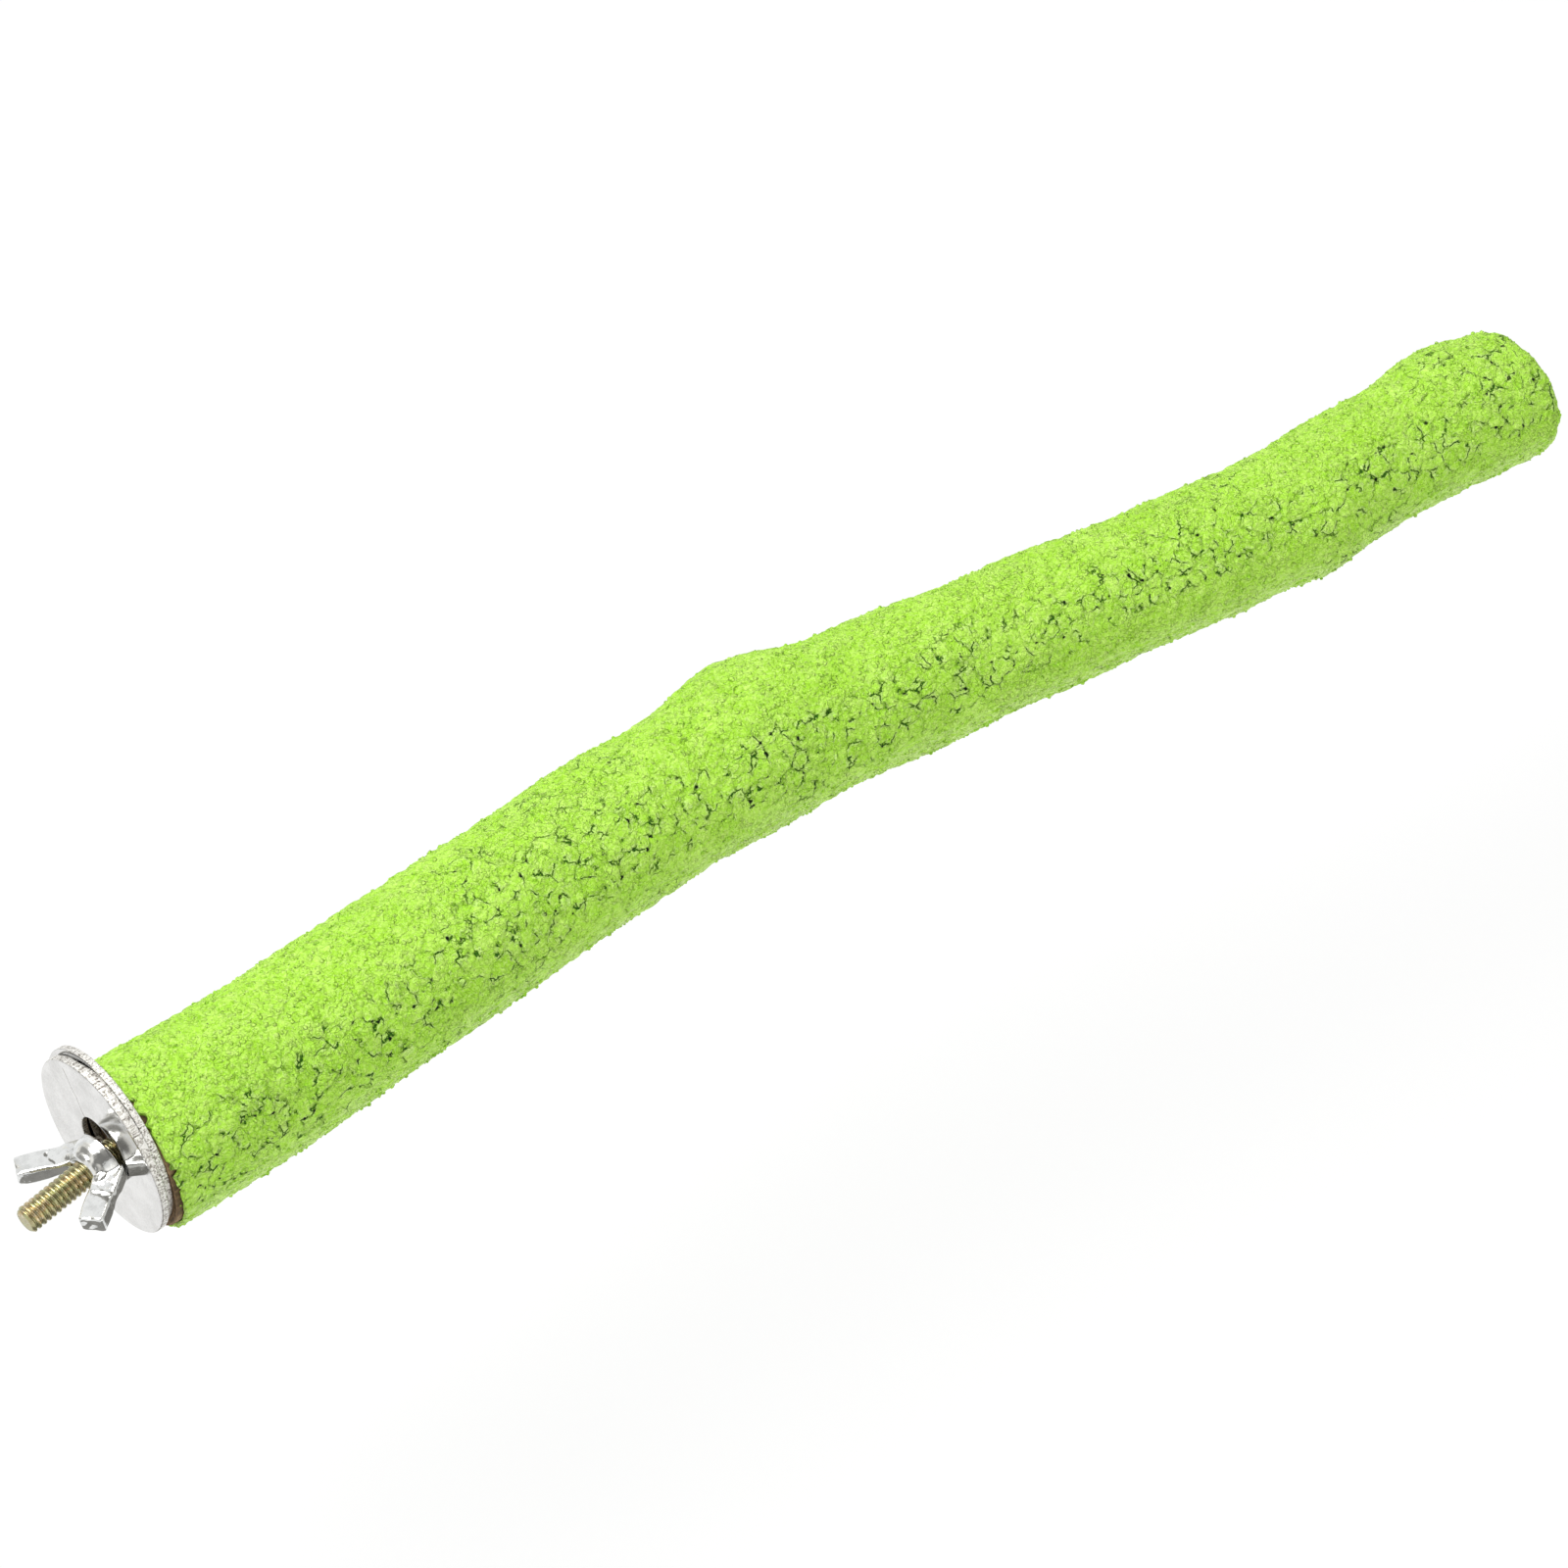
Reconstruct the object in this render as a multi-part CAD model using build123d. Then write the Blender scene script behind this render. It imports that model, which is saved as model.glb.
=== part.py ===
"""Bird perch: a bent natural branch under a grit coating, with the stud, washers and wing nut of its cage clamp.

Millimetres. The origin is where the stud's axis crosses the clamp plane, which is the rear washer's outer face.
+X runs from the clamp plane into the branch, -X out along the stud, and +Z is up.
Angles around X are counted from +Y towards +Z.
"""

import math
import os
from typing import NamedTuple

from build123d import *


class Bend(NamedTuple):
    """A point of the branch's middle line: how far along and how far sideways, in branch lengths."""

    along: float
    sideways: float


class Girth(NamedTuple):
    """The coated branch's girth: how far along in branch lengths, and its diameter in clamped-end diameters."""

    along: float
    diameter: float


class Knot(NamedTuple):
    """A swelling where a twig was cut away: lengths in branch lengths, height in clamped-end diameters."""

    along: float
    half_length: float
    height: float
    angle: float


class LumpWave(NamedTuple):
    """A slanting wave of lumps in the coating: how many along and round, height in clamped-end diameters."""

    along: int
    round_about: int
    height: float
    phase: float


# Branch and coating
branch_length = 294.0
branch_diameter = 30.9
coat_thickness = 1.2
coat_bond_gap = 0.05
far_rim_round = 4.0
bare_wood_most = 2.1
bare_wood_slant = 6.2
bare_wood_widest_angle = 222.0
wood_section_spacing = 15.3
coat_section_spacing = 9.1
coat_section_arcs = 10
far_rim_steps = 4
bends = [
    Bend(0, -0.0048),
    Bend(0.102, -0.0051),
    Bend(0.221, 0.0003),
    Bend(0.391, 0.0061),
    Bend(0.510, -0.0034),
    Bend(0.799, -0.0510),
    Bend(0.901, -0.0551),
    Bend(1.020, -0.0680),
]
girths = [
    Girth(0, 1),
    Girth(0.170, 0.947),
    Girth(0.374, 0.905),
    Girth(0.510, 0.878),
    Girth(0.680, 0.813),
    Girth(0.850, 0.786),
    Girth(1.020, 0.809),
]
knots = [
    Knot(0.459, 0.061, 0.0855, 34),
    Knot(0.823, 0.037, 0.0395, 214),
    Knot(0.949, 0.051, 0.0592, 34),
]
lump_waves = [
    LumpWave(10, 4, 0.0042, 40),
    LumpWave(9, -4, 0.0038, 160),
    LumpWave(6, 3, 0.0032, 250),
]

# Stud: a machine screw outside the branch and a wood screw inside it
stud_diameter = 4.8
stud_reach = 19.4
stud_grip = 30.0
stud_tip_chamfer = 0.5
stud_point_length = 7.0
stud_point_diameter = 0.8
stud_lean = 6.8
stud_lean_angle = 214.0
pilot_clearance = 0.05

# Washers
washer_diameter = 33.0
washer_hole_diameter = 11.0
washer_thickness = 1.25
washer_edge_chamfer = 0.25
washer_seat_gap = 0.1
washer_shift_angle = 34.0
rear_washer_shift = 2.4
front_washer_shift = 1.6
front_washer_tilt = 1.2

# Wing nut
nut_bore_clearance = 0.05
nut_seat_gap = 0.1
boss_base_diameter = 10.2
boss_front_diameter = 8.8
boss_height = 4.5
boss_foot = 0.6
boss_front_chamfer = 1.0
wing_flare = 56.0
wing_tip_radius = 10.1
wing_tip_height = 11.0
wing_root_radius = 3.4
wing_root_width = 5.0
wing_tip_width = 4.5
wing_root_thickness = 3.0
wing_tip_thickness = 3.1
wing_corner_chamfer = 0.5
wing_end_chamfer = 0.4
wing_turn = -12.5

# Places that follow from the sizes
sawn_face = washer_thickness + washer_seat_gap
outward = Vector(
    -math.cos(math.radians(stud_lean)),
    math.sin(math.radians(stud_lean)) * math.cos(math.radians(stud_lean_angle)),
    math.sin(math.radians(stud_lean)) * math.sin(math.radians(stud_lean_angle)),
)
stud_frame = Plane(origin=(0, 0, 0), x_dir=(0, 1, 0), z_dir=outward)


def around(angle, radius):
    """A sideways step of the given radius at an angle around X."""
    turn = math.radians(angle)
    return Vector(0, radius * math.cos(turn), radius * math.sin(turn))


def smooth_value(points, along):
    """A smooth curve through (along, value) points, straight beyond the last one."""
    slopes = []
    for i in range(len(points)):
        before = points[max(i - 1, 0)]
        after = points[min(i + 1, len(points) - 1)]
        slopes.append((after[1] - before[1]) / (after[0] - before[0]))
    if along >= points[-1][0]:
        return points[-1][1] + slopes[-1] * (along - points[-1][0])
    i = max(j for j in range(len(points) - 1) if points[j][0] <= along)
    span = points[i + 1][0] - points[i][0]
    t = (along - points[i][0]) / span
    start = (1 + 2 * t) * (1 - t) ** 2 * points[i][1] + t * (1 - t) ** 2 * span * slopes[i]
    end = t * t * (3 - 2 * t) * points[i + 1][1] - t * t * (1 - t) * span * slopes[i + 1]
    return start + end


def knot_swell(knot, share):
    """Half of a knot's height at a share of the branch's length."""
    reach = (share - knot.along) / knot.half_length
    if abs(reach) >= 1:
        return 0.0
    return branch_diameter * knot.height * (1 + math.cos(math.pi * reach)) / 4


def branch_ring(along):
    """The plane and the coated radius of the branch at a distance from the sawn face."""
    share = along / branch_length
    centre = Vector(sawn_face + along, branch_length * smooth_value(bends, share), 0)
    radius = branch_diameter / 2 * smooth_value(girths, share)
    for knot in knots:
        swell = knot_swell(knot, share)
        centre += around(knot.angle, swell)
        radius += swell
    return Plane(origin=centre, x_dir=(0, 1, 0), z_dir=(1, 0, 0)), radius


def round_section(along, inset):
    """The branch's round section, inset from the coated surface."""
    plane, radius = branch_ring(along)
    return plane * Circle(radius - inset)


def lump_height(along, angle):
    """How far the coating's lumps stand out or in at a place on the branch."""
    height = 0.0
    for wave in lump_waves:
        turn = 360 * wave.along * along / branch_length + wave.round_about * angle + wave.phase
        height += branch_diameter * wave.height * math.cos(math.radians(turn))
    return height


def lumpy_section(along, inset):
    """The coating's section, inset from the coated surface: a ring of arcs over its lumps and hollows."""
    plane, radius = branch_ring(along)
    count = 2 * coat_section_arcs
    points = []
    for step in range(count):
        angle = 360 * step / count
        reach = radius - inset + lump_height(along, angle)
        points.append((reach * math.cos(math.radians(angle)), reach * math.sin(math.radians(angle))))
    arcs = [ThreePointArc(points[i], points[i + 1], points[(i + 2) % count]) for i in range(0, count, 2)]
    return plane * make_face(arcs)


def branch_body(section, inset, spacing):
    """The branch as a loft of one kind of section, inset from the coated surface, with a rounded far rim."""
    rim_round = far_rim_round - inset
    rim_start = branch_length - inset - rim_round
    count = math.ceil(rim_start / spacing)
    sections = [section(rim_start * i / count, inset) for i in range(count)]
    for step in range(far_rim_steps + 1):
        turn = math.pi / 2 * step / far_rim_steps
        along = rim_start + rim_round * math.sin(turn)
        sections.append(section(along, inset + rim_round * (1 - math.cos(turn))))
    return loft(sections, ruled=True)


def stud_body(grow):
    """The stud about the Z axis, tip up, grown by a clearance for the pilot hole."""
    radius = stud_diameter / 2
    depth = sawn_face + stud_grip
    outline = Polyline(
        (0, -depth - grow),
        (stud_point_diameter / 2 + grow, -depth - grow),
        (radius + grow, -depth + stud_point_length),
        (radius + grow, stud_reach - stud_tip_chamfer),
        (radius - stud_tip_chamfer + grow, stud_reach),
        (0, stud_reach),
        close=True,
    )
    return revolve(Plane.XZ * make_face(outline), Axis.Z)


def make_wood_branch():
    """The sawn branch, drilled for the stud."""
    branch = branch_body(round_section, coat_thickness, wood_section_spacing)
    return branch - stud_frame * stud_body(pilot_clearance)


def make_grit_coating():
    """The coating's lumpy shell, closed over the far end and broken off short of the sawn face."""
    hollow = branch_body(round_section, coat_thickness - coat_bond_gap, wood_section_spacing)
    shell = branch_body(lumpy_section, 0, coat_section_spacing) - hollow
    edge_point = Vector(sawn_face + bare_wood_most, branch_length * bends[0].sideways, 0)
    edge_point += around(bare_wood_widest_angle, branch_diameter / 2)
    slope = math.tan(math.radians(bare_wood_slant))
    edge_normal = Vector(1, 0, 0) - around(bare_wood_widest_angle, slope)
    return split(shell, bisect_by=Plane(origin=edge_point, z_dir=edge_normal), keep=Keep.TOP)


def make_hanger_bolt():
    """The stud on its leaning axis."""
    return stud_frame * stud_body(0)


def washer_body():
    """A stamped washer on the XY plane, with eased edges on the side that faces up."""
    ring = Circle(washer_diameter / 2) - Circle(washer_hole_diameter / 2)
    body = extrude(ring, washer_thickness)
    return chamfer(body.edges().group_by(Axis.Z)[-1], washer_edge_chamfer)


def make_rear_washer():
    """The washer against the sawn face, shifted to one side by the play in its wide hole."""
    centre = Vector(washer_thickness, 0, 0) + around(washer_shift_angle, rear_washer_shift)
    return Plane(origin=centre, x_dir=(0, 1, 0), z_dir=(-1, 0, 0)) * washer_body()


def front_washer_frame():
    """The front washer's plane: tilted, with its lower edge a seat gap from the rear washer."""
    tilt = math.radians(front_washer_tilt)
    gap = washer_seat_gap + washer_diameter / 2 * math.sin(tilt)
    normal = Vector(-math.cos(tilt), 0, 0) - around(washer_shift_angle, math.sin(tilt))
    centre = Vector(-gap, 0, 0) + around(washer_shift_angle, front_washer_shift)
    return Plane(origin=centre, x_dir=(0, 1, 0), z_dir=normal)


def make_front_washer():
    """The loose washer under the wing nut."""
    return front_washer_frame() * washer_body()


def nut_seat_height():
    """How far out along the stud the nut's base lies, so that its lowest rim just clears the front washer."""
    frame = front_washer_frame()
    face_point = frame.origin + frame.z_dir * washer_thickness
    cosine = frame.z_dir.dot(outward)
    centre_height = frame.z_dir.dot(face_point) / cosine
    rim_rise = boss_base_diameter / 2 * math.sqrt(1 - cosine**2) / cosine
    return centre_height + rim_rise + nut_seat_gap


def wing_section(distance, width, thickness):
    """A wing's section with eased corners, square to the wing, at a distance in from its tip."""
    flare = math.radians(wing_flare)
    centre = (
        wing_tip_radius - distance * math.cos(flare),
        0,
        wing_tip_height - distance * math.sin(flare),
    )
    across = (-math.sin(flare), 0, math.cos(flare))
    outwards = (math.cos(flare), 0, math.sin(flare))
    section = Rectangle(width, thickness)
    section = chamfer(section.vertices(), wing_corner_chamfer)
    return Plane(origin=centre, x_dir=across, z_dir=outwards) * section


def wing_body():
    """One forged wing, flaring up and outwards from inside the boss."""
    length = (wing_tip_radius - wing_root_radius) / math.cos(math.radians(wing_flare))
    root = wing_section(length, wing_root_width, wing_root_thickness)
    shoulder = wing_section(wing_end_chamfer, wing_tip_width, wing_tip_thickness)
    end_width = wing_tip_width - 2 * wing_end_chamfer
    end_thickness = wing_tip_thickness - 2 * wing_end_chamfer
    end = wing_section(0, end_width, end_thickness)
    wing = loft([root, shoulder, end], ruled=True)
    below = Pos(0, 0, boss_foot) * Box(
        4 * wing_tip_radius,
        4 * wing_tip_radius,
        4 * wing_tip_height,
        align=(Align.CENTER, Align.CENTER, Align.MAX),
    )
    return wing - below


def make_wing_nut():
    """The wing nut: a tapered boss with two wings, bored for the stud."""
    base = boss_base_diameter / 2
    front = boss_front_diameter / 2
    outline = Polyline(
        (0, 0),
        (base, 0),
        (base, boss_foot),
        (front, boss_height - boss_front_chamfer),
        (front - boss_front_chamfer, boss_height),
        (0, boss_height),
        close=True,
    )
    boss = revolve(Plane.XZ * make_face(outline), Axis.Z)
    wing = wing_body()
    nut = boss + wing + Rot(0, 0, 180) * wing
    nut -= Cylinder(stud_diameter / 2 + nut_bore_clearance, 4 * wing_tip_height)
    seat = stud_frame * Pos(0, 0, nut_seat_height())
    return seat * Rot(0, 0, -wing_turn) * nut


nodes = {
    "wood_branch": make_wood_branch(),
    "grit_coating": make_grit_coating(),
    "hanger_bolt": make_hanger_bolt(),
    "rear_washer": make_rear_washer(),
    "front_washer": make_front_washer(),
    "wing_nut": make_wing_nut(),
}

os.makedirs("parts", exist_ok=True)
for name, solid in nodes.items():
    export_step(solid, f"parts/{name}.step")
print("outward axis", tuple(outward))
print("front washer normal", tuple(front_washer_frame().z_dir))
print("nut seat height", nut_seat_height())
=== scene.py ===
"""Dresses the bird perch: a grit-coated branch with the stud, washers and wing nut of its cage clamp.

Blender works in metres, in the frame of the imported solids: +X runs from the clamp plane into the branch,
-X out along the stud, and +Z is up. Sizes of pieces are written in millimetres and scaled when their meshes
are made. Angles around X are counted from +Y towards +Z.
"""

import logging
import math
from dataclasses import dataclass, field
from enum import Enum
from typing import Any, Callable, Optional, Sequence, Union

import bpy
import numpy as np
from mathutils import Matrix, Vector, noise


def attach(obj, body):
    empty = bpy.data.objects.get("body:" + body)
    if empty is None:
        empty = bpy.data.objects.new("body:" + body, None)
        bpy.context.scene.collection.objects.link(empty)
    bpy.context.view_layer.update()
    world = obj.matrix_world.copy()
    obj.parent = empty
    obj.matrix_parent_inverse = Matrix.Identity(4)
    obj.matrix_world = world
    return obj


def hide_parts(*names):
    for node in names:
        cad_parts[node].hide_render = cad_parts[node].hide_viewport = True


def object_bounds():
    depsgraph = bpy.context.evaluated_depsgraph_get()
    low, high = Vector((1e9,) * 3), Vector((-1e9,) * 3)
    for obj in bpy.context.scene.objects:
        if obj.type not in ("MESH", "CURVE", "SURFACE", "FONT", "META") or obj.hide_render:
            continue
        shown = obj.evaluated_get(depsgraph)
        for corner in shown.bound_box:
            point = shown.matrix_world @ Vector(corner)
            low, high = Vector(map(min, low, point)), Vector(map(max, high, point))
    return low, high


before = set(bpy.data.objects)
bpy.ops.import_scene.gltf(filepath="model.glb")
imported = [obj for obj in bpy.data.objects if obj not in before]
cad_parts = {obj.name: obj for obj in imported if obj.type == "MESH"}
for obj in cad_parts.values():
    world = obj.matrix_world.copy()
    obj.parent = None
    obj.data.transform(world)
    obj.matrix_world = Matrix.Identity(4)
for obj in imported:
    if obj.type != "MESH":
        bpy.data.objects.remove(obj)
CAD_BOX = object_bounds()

LOG = logging.getLogger("bird_perch")
MM = 0.001
TO_MM = (1 / MM,) * 3
FULL_TURN = 2 * math.pi
ORIGIN = Vector((0, 0, 0))

Socket = bpy.types.NodeSocket
Feed = Union[float, int, str, Sequence[float], Socket]
Colour = tuple[float, float, float, float]
Triple = tuple[float, float, float]
Span = tuple[float, float]
SizeSource = Callable[[str], Feed]
WHITE: Colour = (1, 1, 1, 1)


class Body(Enum):
    """The bodies that pieces ride on."""

    PERCH = "perch"
    REAR_WASHER = "rear_washer"
    FRONT_WASHER = "front_washer"
    WING_NUT = "wing_nut"


class Slot(Enum):
    """Names of the material slots."""

    WOOD = "branch_wood"
    GRIT = "green_grit"
    STUD = "yellow_zinc"
    PLATE = "bright_plate"
    FORGED = "forged_zinc"


class Feature(Enum):
    """What a cell texture measures."""

    NEAREST = "F1"
    EDGE = "DISTANCE_TO_EDGE"


class Graph:
    """Builds a node tree, of a material or of geometry nodes, from short calls."""

    def __init__(self, tree: bpy.types.NodeTree) -> None:
        """Keeps the tree that the calls add to."""
        self.tree = tree

    def feed(self, socket: Socket, value: Feed) -> None:
        """Links a socket into an input, or sets the input's own value."""
        if isinstance(value, bpy.types.NodeSocket):
            self.tree.links.new(value, socket)
        else:
            socket.default_value = value

    def node(self, kind: str, inputs: Optional[dict[Any, Feed]] = None, **settings: Any) -> bpy.types.Node:
        """Adds a node.

        Args:
            kind: The node's type name.
            inputs: Values or sockets for its inputs, by name or number.
            settings: Properties of the node.

        Returns:
            The new node.
        """
        made = self.tree.nodes.new(kind)
        for name, value in settings.items():
            setattr(made, name, value)
        for key, value in (inputs or {}).items():
            self.feed(made.inputs[key], value)
        return made

    def math(self, operation: str, first: Feed, second: Feed = 0.0, third: Feed = 0.0) -> Socket:
        """Returns the result of one sum on numbers."""
        return self.node("ShaderNodeMath", {0: first, 1: second, 2: third}, operation=operation).outputs[0]

    def total(self, *terms: tuple[Feed, float]) -> Socket:
        """Returns the sum of each socket times its share."""
        result: Feed = 0.0
        for socket, share in terms:
            result = self.math("MULTIPLY_ADD", socket, share, result)
        return result

    def product(self, *factors: Feed) -> Socket:
        """Returns the product of its factors."""
        result: Feed = factors[0]
        for factor in factors[1:]:
            result = self.math("MULTIPLY", result, factor)
        return result

    def opposite(self, value: Feed) -> Socket:
        """Returns one minus a value."""
        return self.math("SUBTRACT", 1.0, value)

    def vector(self, operation: str, first: Feed, second: Feed, third: Feed = (0, 0, 0)) -> Socket:
        """Returns the vector result of one sum on vectors."""
        inputs = {0: first, 1: second, 2: third}
        return self.node("ShaderNodeVectorMath", inputs, operation=operation).outputs[0]

    def warp(self, place: Feed, by: Socket, reach: float) -> Socket:
        """Returns a place shifted by a colour times a reach."""
        return self.vector("MULTIPLY_ADD", by, (reach,) * 3, place)

    def radius(self, across: Socket, up: Socket) -> Socket:
        """Returns the distance from an axis, given both numbers across it."""
        squares = self.total((self.product(across, across), 1.0), (self.product(up, up), 1.0))
        return self.math("SQRT", squares)

    def smooth(self, low: Feed, high: Feed, value: Feed) -> Socket:
        """Returns a smooth step that rises from 0 at low to 1 at high."""
        inputs = {0: value, 1: low, 2: high, 3: 0.0, 4: 1.0}
        return self.node("ShaderNodeMapRange", inputs, interpolation_type="SMOOTHSTEP").outputs[0]

    def fall(self, low: Feed, high: Feed, value: Feed) -> Socket:
        """Returns a smooth step that falls from 1 at low to 0 at high."""
        return self.opposite(self.smooth(low, high, value))

    def noise(self, place: Feed, scale: Feed, detail: float = 2.0, roughness: float = 0.5) -> bpy.types.Node:
        """Returns a noise texture, whose outputs are a number and a colour."""
        inputs = {"Vector": place, "Scale": scale, "Detail": detail, "Roughness": roughness}
        return self.node("ShaderNodeTexNoise", inputs)

    def cells(self, place: Feed, scale: Feed, feature: Feature) -> bpy.types.Node:
        """Returns a cell texture of the given feature."""
        return self.node("ShaderNodeTexVoronoi", {"Vector": place, "Scale": scale}, feature=feature.value)

    def folds(self, place: Feed, scale: Feed) -> Socket:
        """Returns rounded blobs, 0 along the sharp folds between them and up to about 0.6 on their tops."""
        height = self.noise(place, scale, 2.0, 0.55).outputs[0]
        return self.math("ABSOLUTE", self.math("MULTIPLY_ADD", height, 2.0, -1.0))

    def parts(self, vector: Socket) -> tuple[Socket, Socket, Socket]:
        """Returns the three numbers of a vector or colour."""
        outputs = self.node("ShaderNodeSeparateXYZ", {0: vector}).outputs
        return outputs[0], outputs[1], outputs[2]

    def blend(self, factor: Feed, first: Feed, second: Feed) -> Socket:
        """Returns a colour between two colours."""
        return self.node("ShaderNodeMix", {0: factor, 6: first, 7: second}, data_type="RGBA").outputs[2]

    def ramp(self, factor: Feed, stops: Sequence[tuple[float, Colour]]) -> Socket:
        """Returns a colour from a ramp of (place, colour) stops."""
        made = self.node("ShaderNodeValToRGB", {0: factor})
        band = made.color_ramp.elements
        while len(band) < len(stops):
            band.new(1.0)
        for element, (place, colour) in zip(band, stops):
            element.position = place
            element.color = colour
        return made.outputs[0]

    def mixed(self, factor: Socket, first: bpy.types.Node, second: bpy.types.Node) -> Socket:
        """Returns a shader between the shaders of two nodes."""
        inputs = {0: factor, 1: first.outputs[0], 2: second.outputs[0]}
        return self.node("ShaderNodeMixShader", inputs).outputs[0]

    def layer(self, name: str) -> Socket:
        """Returns one of the mesh's own numbers, in geometry nodes."""
        found = self.node("GeometryNodeInputNamedAttribute", {"Name": name}, data_type="FLOAT")
        return found.outputs[0]

    def store(self, geometry: Socket, name: str, value: Socket, kind: str) -> Socket:
        """Returns geometry whose points carry a value, in geometry nodes."""
        inputs = {"Geometry": geometry, "Name": name, "Value": value}
        stored = self.node("GeometryNodeStoreNamedAttribute", inputs, data_type=kind, domain="POINT")
        return stored.outputs[0]


class GeometryRule:
    """A geometry node tree with named inputs, run once on an object whose mesh it replaces."""

    def __init__(self, name: str) -> None:
        """Makes the tree with its geometry sockets."""
        self.tree = bpy.data.node_groups.new(name, "GeometryNodeTree")
        self.graph = Graph(self.tree)
        self.values: dict[str, Any] = {}
        self.entry = self.graph.node("NodeGroupInput")
        self.exit = self.graph.node("NodeGroupOutput")
        self.geometry = self._socket("Geometry", "NodeSocketGeometry")
        self.tree.interface.new_socket("Geometry", in_out="OUTPUT", socket_type="NodeSocketGeometry")

    def _socket(self, name: str, kind: str, value: Any = None) -> Socket:
        """Adds a named input and remembers the value that its modifier gets."""
        made = self.tree.interface.new_socket(name, in_out="INPUT", socket_type=kind)
        if value is not None:
            self.values[made.identifier] = value
        return self.entry.outputs[name]

    def size(self, name: str, value: float) -> Socket:
        """Adds a number input."""
        return self._socket(name, "NodeSocketFloat", value)

    def material(self, value: bpy.types.Material) -> Socket:
        """Adds a material input."""
        return self._socket("Material", "NodeSocketMaterial", value)

    def finish(self, geometry: Socket, material: Socket) -> None:
        """Ends the tree: instances become real and take the material."""
        real = self.graph.node("GeometryNodeRealizeInstances", {0: geometry}).outputs[0]
        dressed = self.graph.node("GeometryNodeSetMaterial", {"Geometry": real, "Material": material})
        self.graph.feed(self.exit.inputs[0], dressed.outputs[0])

    def run(self, piece: bpy.types.Object) -> None:
        """Runs the tree on a piece and keeps the result as its plain mesh."""
        modifier = piece.modifiers.new(self.tree.name, "NODES")
        modifier.node_group = self.tree
        for identifier, value in self.values.items():
            modifier[identifier] = value
        keep_evaluated(piece)


def keep_evaluated(piece: bpy.types.Object) -> None:
    """Replaces a piece's mesh by what its modifiers make of it, and removes them."""
    bpy.context.view_layer.update()
    depsgraph = bpy.context.evaluated_depsgraph_get()
    source = piece.evaluated_get(depsgraph)
    made = bpy.data.meshes.new_from_object(source, preserve_all_data_layers=True, depsgraph=depsgraph)
    piece.modifiers.clear()
    old = piece.data
    piece.data = made
    bpy.data.meshes.remove(old)
    made.name = piece.name


def link(name: str, data: bpy.types.ID) -> bpy.types.Object:
    """Returns a new object of the scene that holds the data."""
    made = bpy.data.objects.new(name, data)
    bpy.context.scene.collection.objects.link(made)
    return made


def bare_graph(owner: Union[bpy.types.Material, bpy.types.World]) -> Graph:
    """Returns the emptied node tree of a material or a world."""
    owner.use_nodes = True
    owner.node_tree.nodes.clear()
    return Graph(owner.node_tree)


def round_angles(count: int) -> np.ndarray:
    """Returns evenly spaced angles once round, in radians."""
    return FULL_TURN * np.arange(count) / count


def circle(radius: float, height: float, angle: np.ndarray) -> np.ndarray:
    """Returns points round Z at the given angles, in radians."""
    return np.stack([radius * np.cos(angle), radius * np.sin(angle), np.full_like(angle, height)], axis=-1)


def spokes(angle: np.ndarray) -> np.ndarray:
    """Returns unit steps at angles around X, in radians."""
    return np.stack([0 * angle, np.cos(angle), np.sin(angle)], axis=-1)


def direction(angle: float) -> Vector:
    """Returns the unit step at an angle around X, in degrees."""
    turn = math.radians(angle)
    return Vector((0, math.cos(turn), math.sin(turn)))


def smooth_step(low: float, high: float, value: np.ndarray) -> np.ndarray:
    """Returns a smooth step that rises from 0 at low to 1 at high."""
    share = np.clip((value - low) / (high - low), 0, 1)
    return share * share * (3 - 2 * share)


def rough(points: np.ndarray, scale: float, seed: float) -> np.ndarray:
    """Returns even noise between about -1 and 1.

    Args:
        points: Places in millimetres, one to a row.
        scale: Waves to a millimetre.
        seed: Shifts the noise.

    Returns:
        One number for each place.
    """
    shift = Vector((seed * 17.3, seed * -9.1, seed * 5.7))
    return np.array([noise.noise(Vector(p) * scale + shift) for p in points])


@dataclass(frozen=True)
class Seat:
    """A place on the perch: local Z lies along the normal and local X as near +Y as it can."""

    origin: Vector
    normal: Vector
    turn: float = 0.0

    def axes(self) -> np.ndarray:
        """Returns the local axes as rows."""
        out = self.normal.normalized()
        side = Vector((0, 1, 0))
        side = (side - out * side.dot(out)).normalized()
        up = out.cross(side)
        turn = math.radians(self.turn)
        turned_side = side * math.cos(turn) + up * math.sin(turn)
        turned_up = up * math.cos(turn) - side * math.sin(turn)
        return np.array([turned_side, turned_up, out])

    def place(self, points: np.ndarray) -> np.ndarray:
        """Returns local points, in any array whose last side is 3, as points of the perch."""
        return points @ self.axes() + np.array(self.origin)


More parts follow.
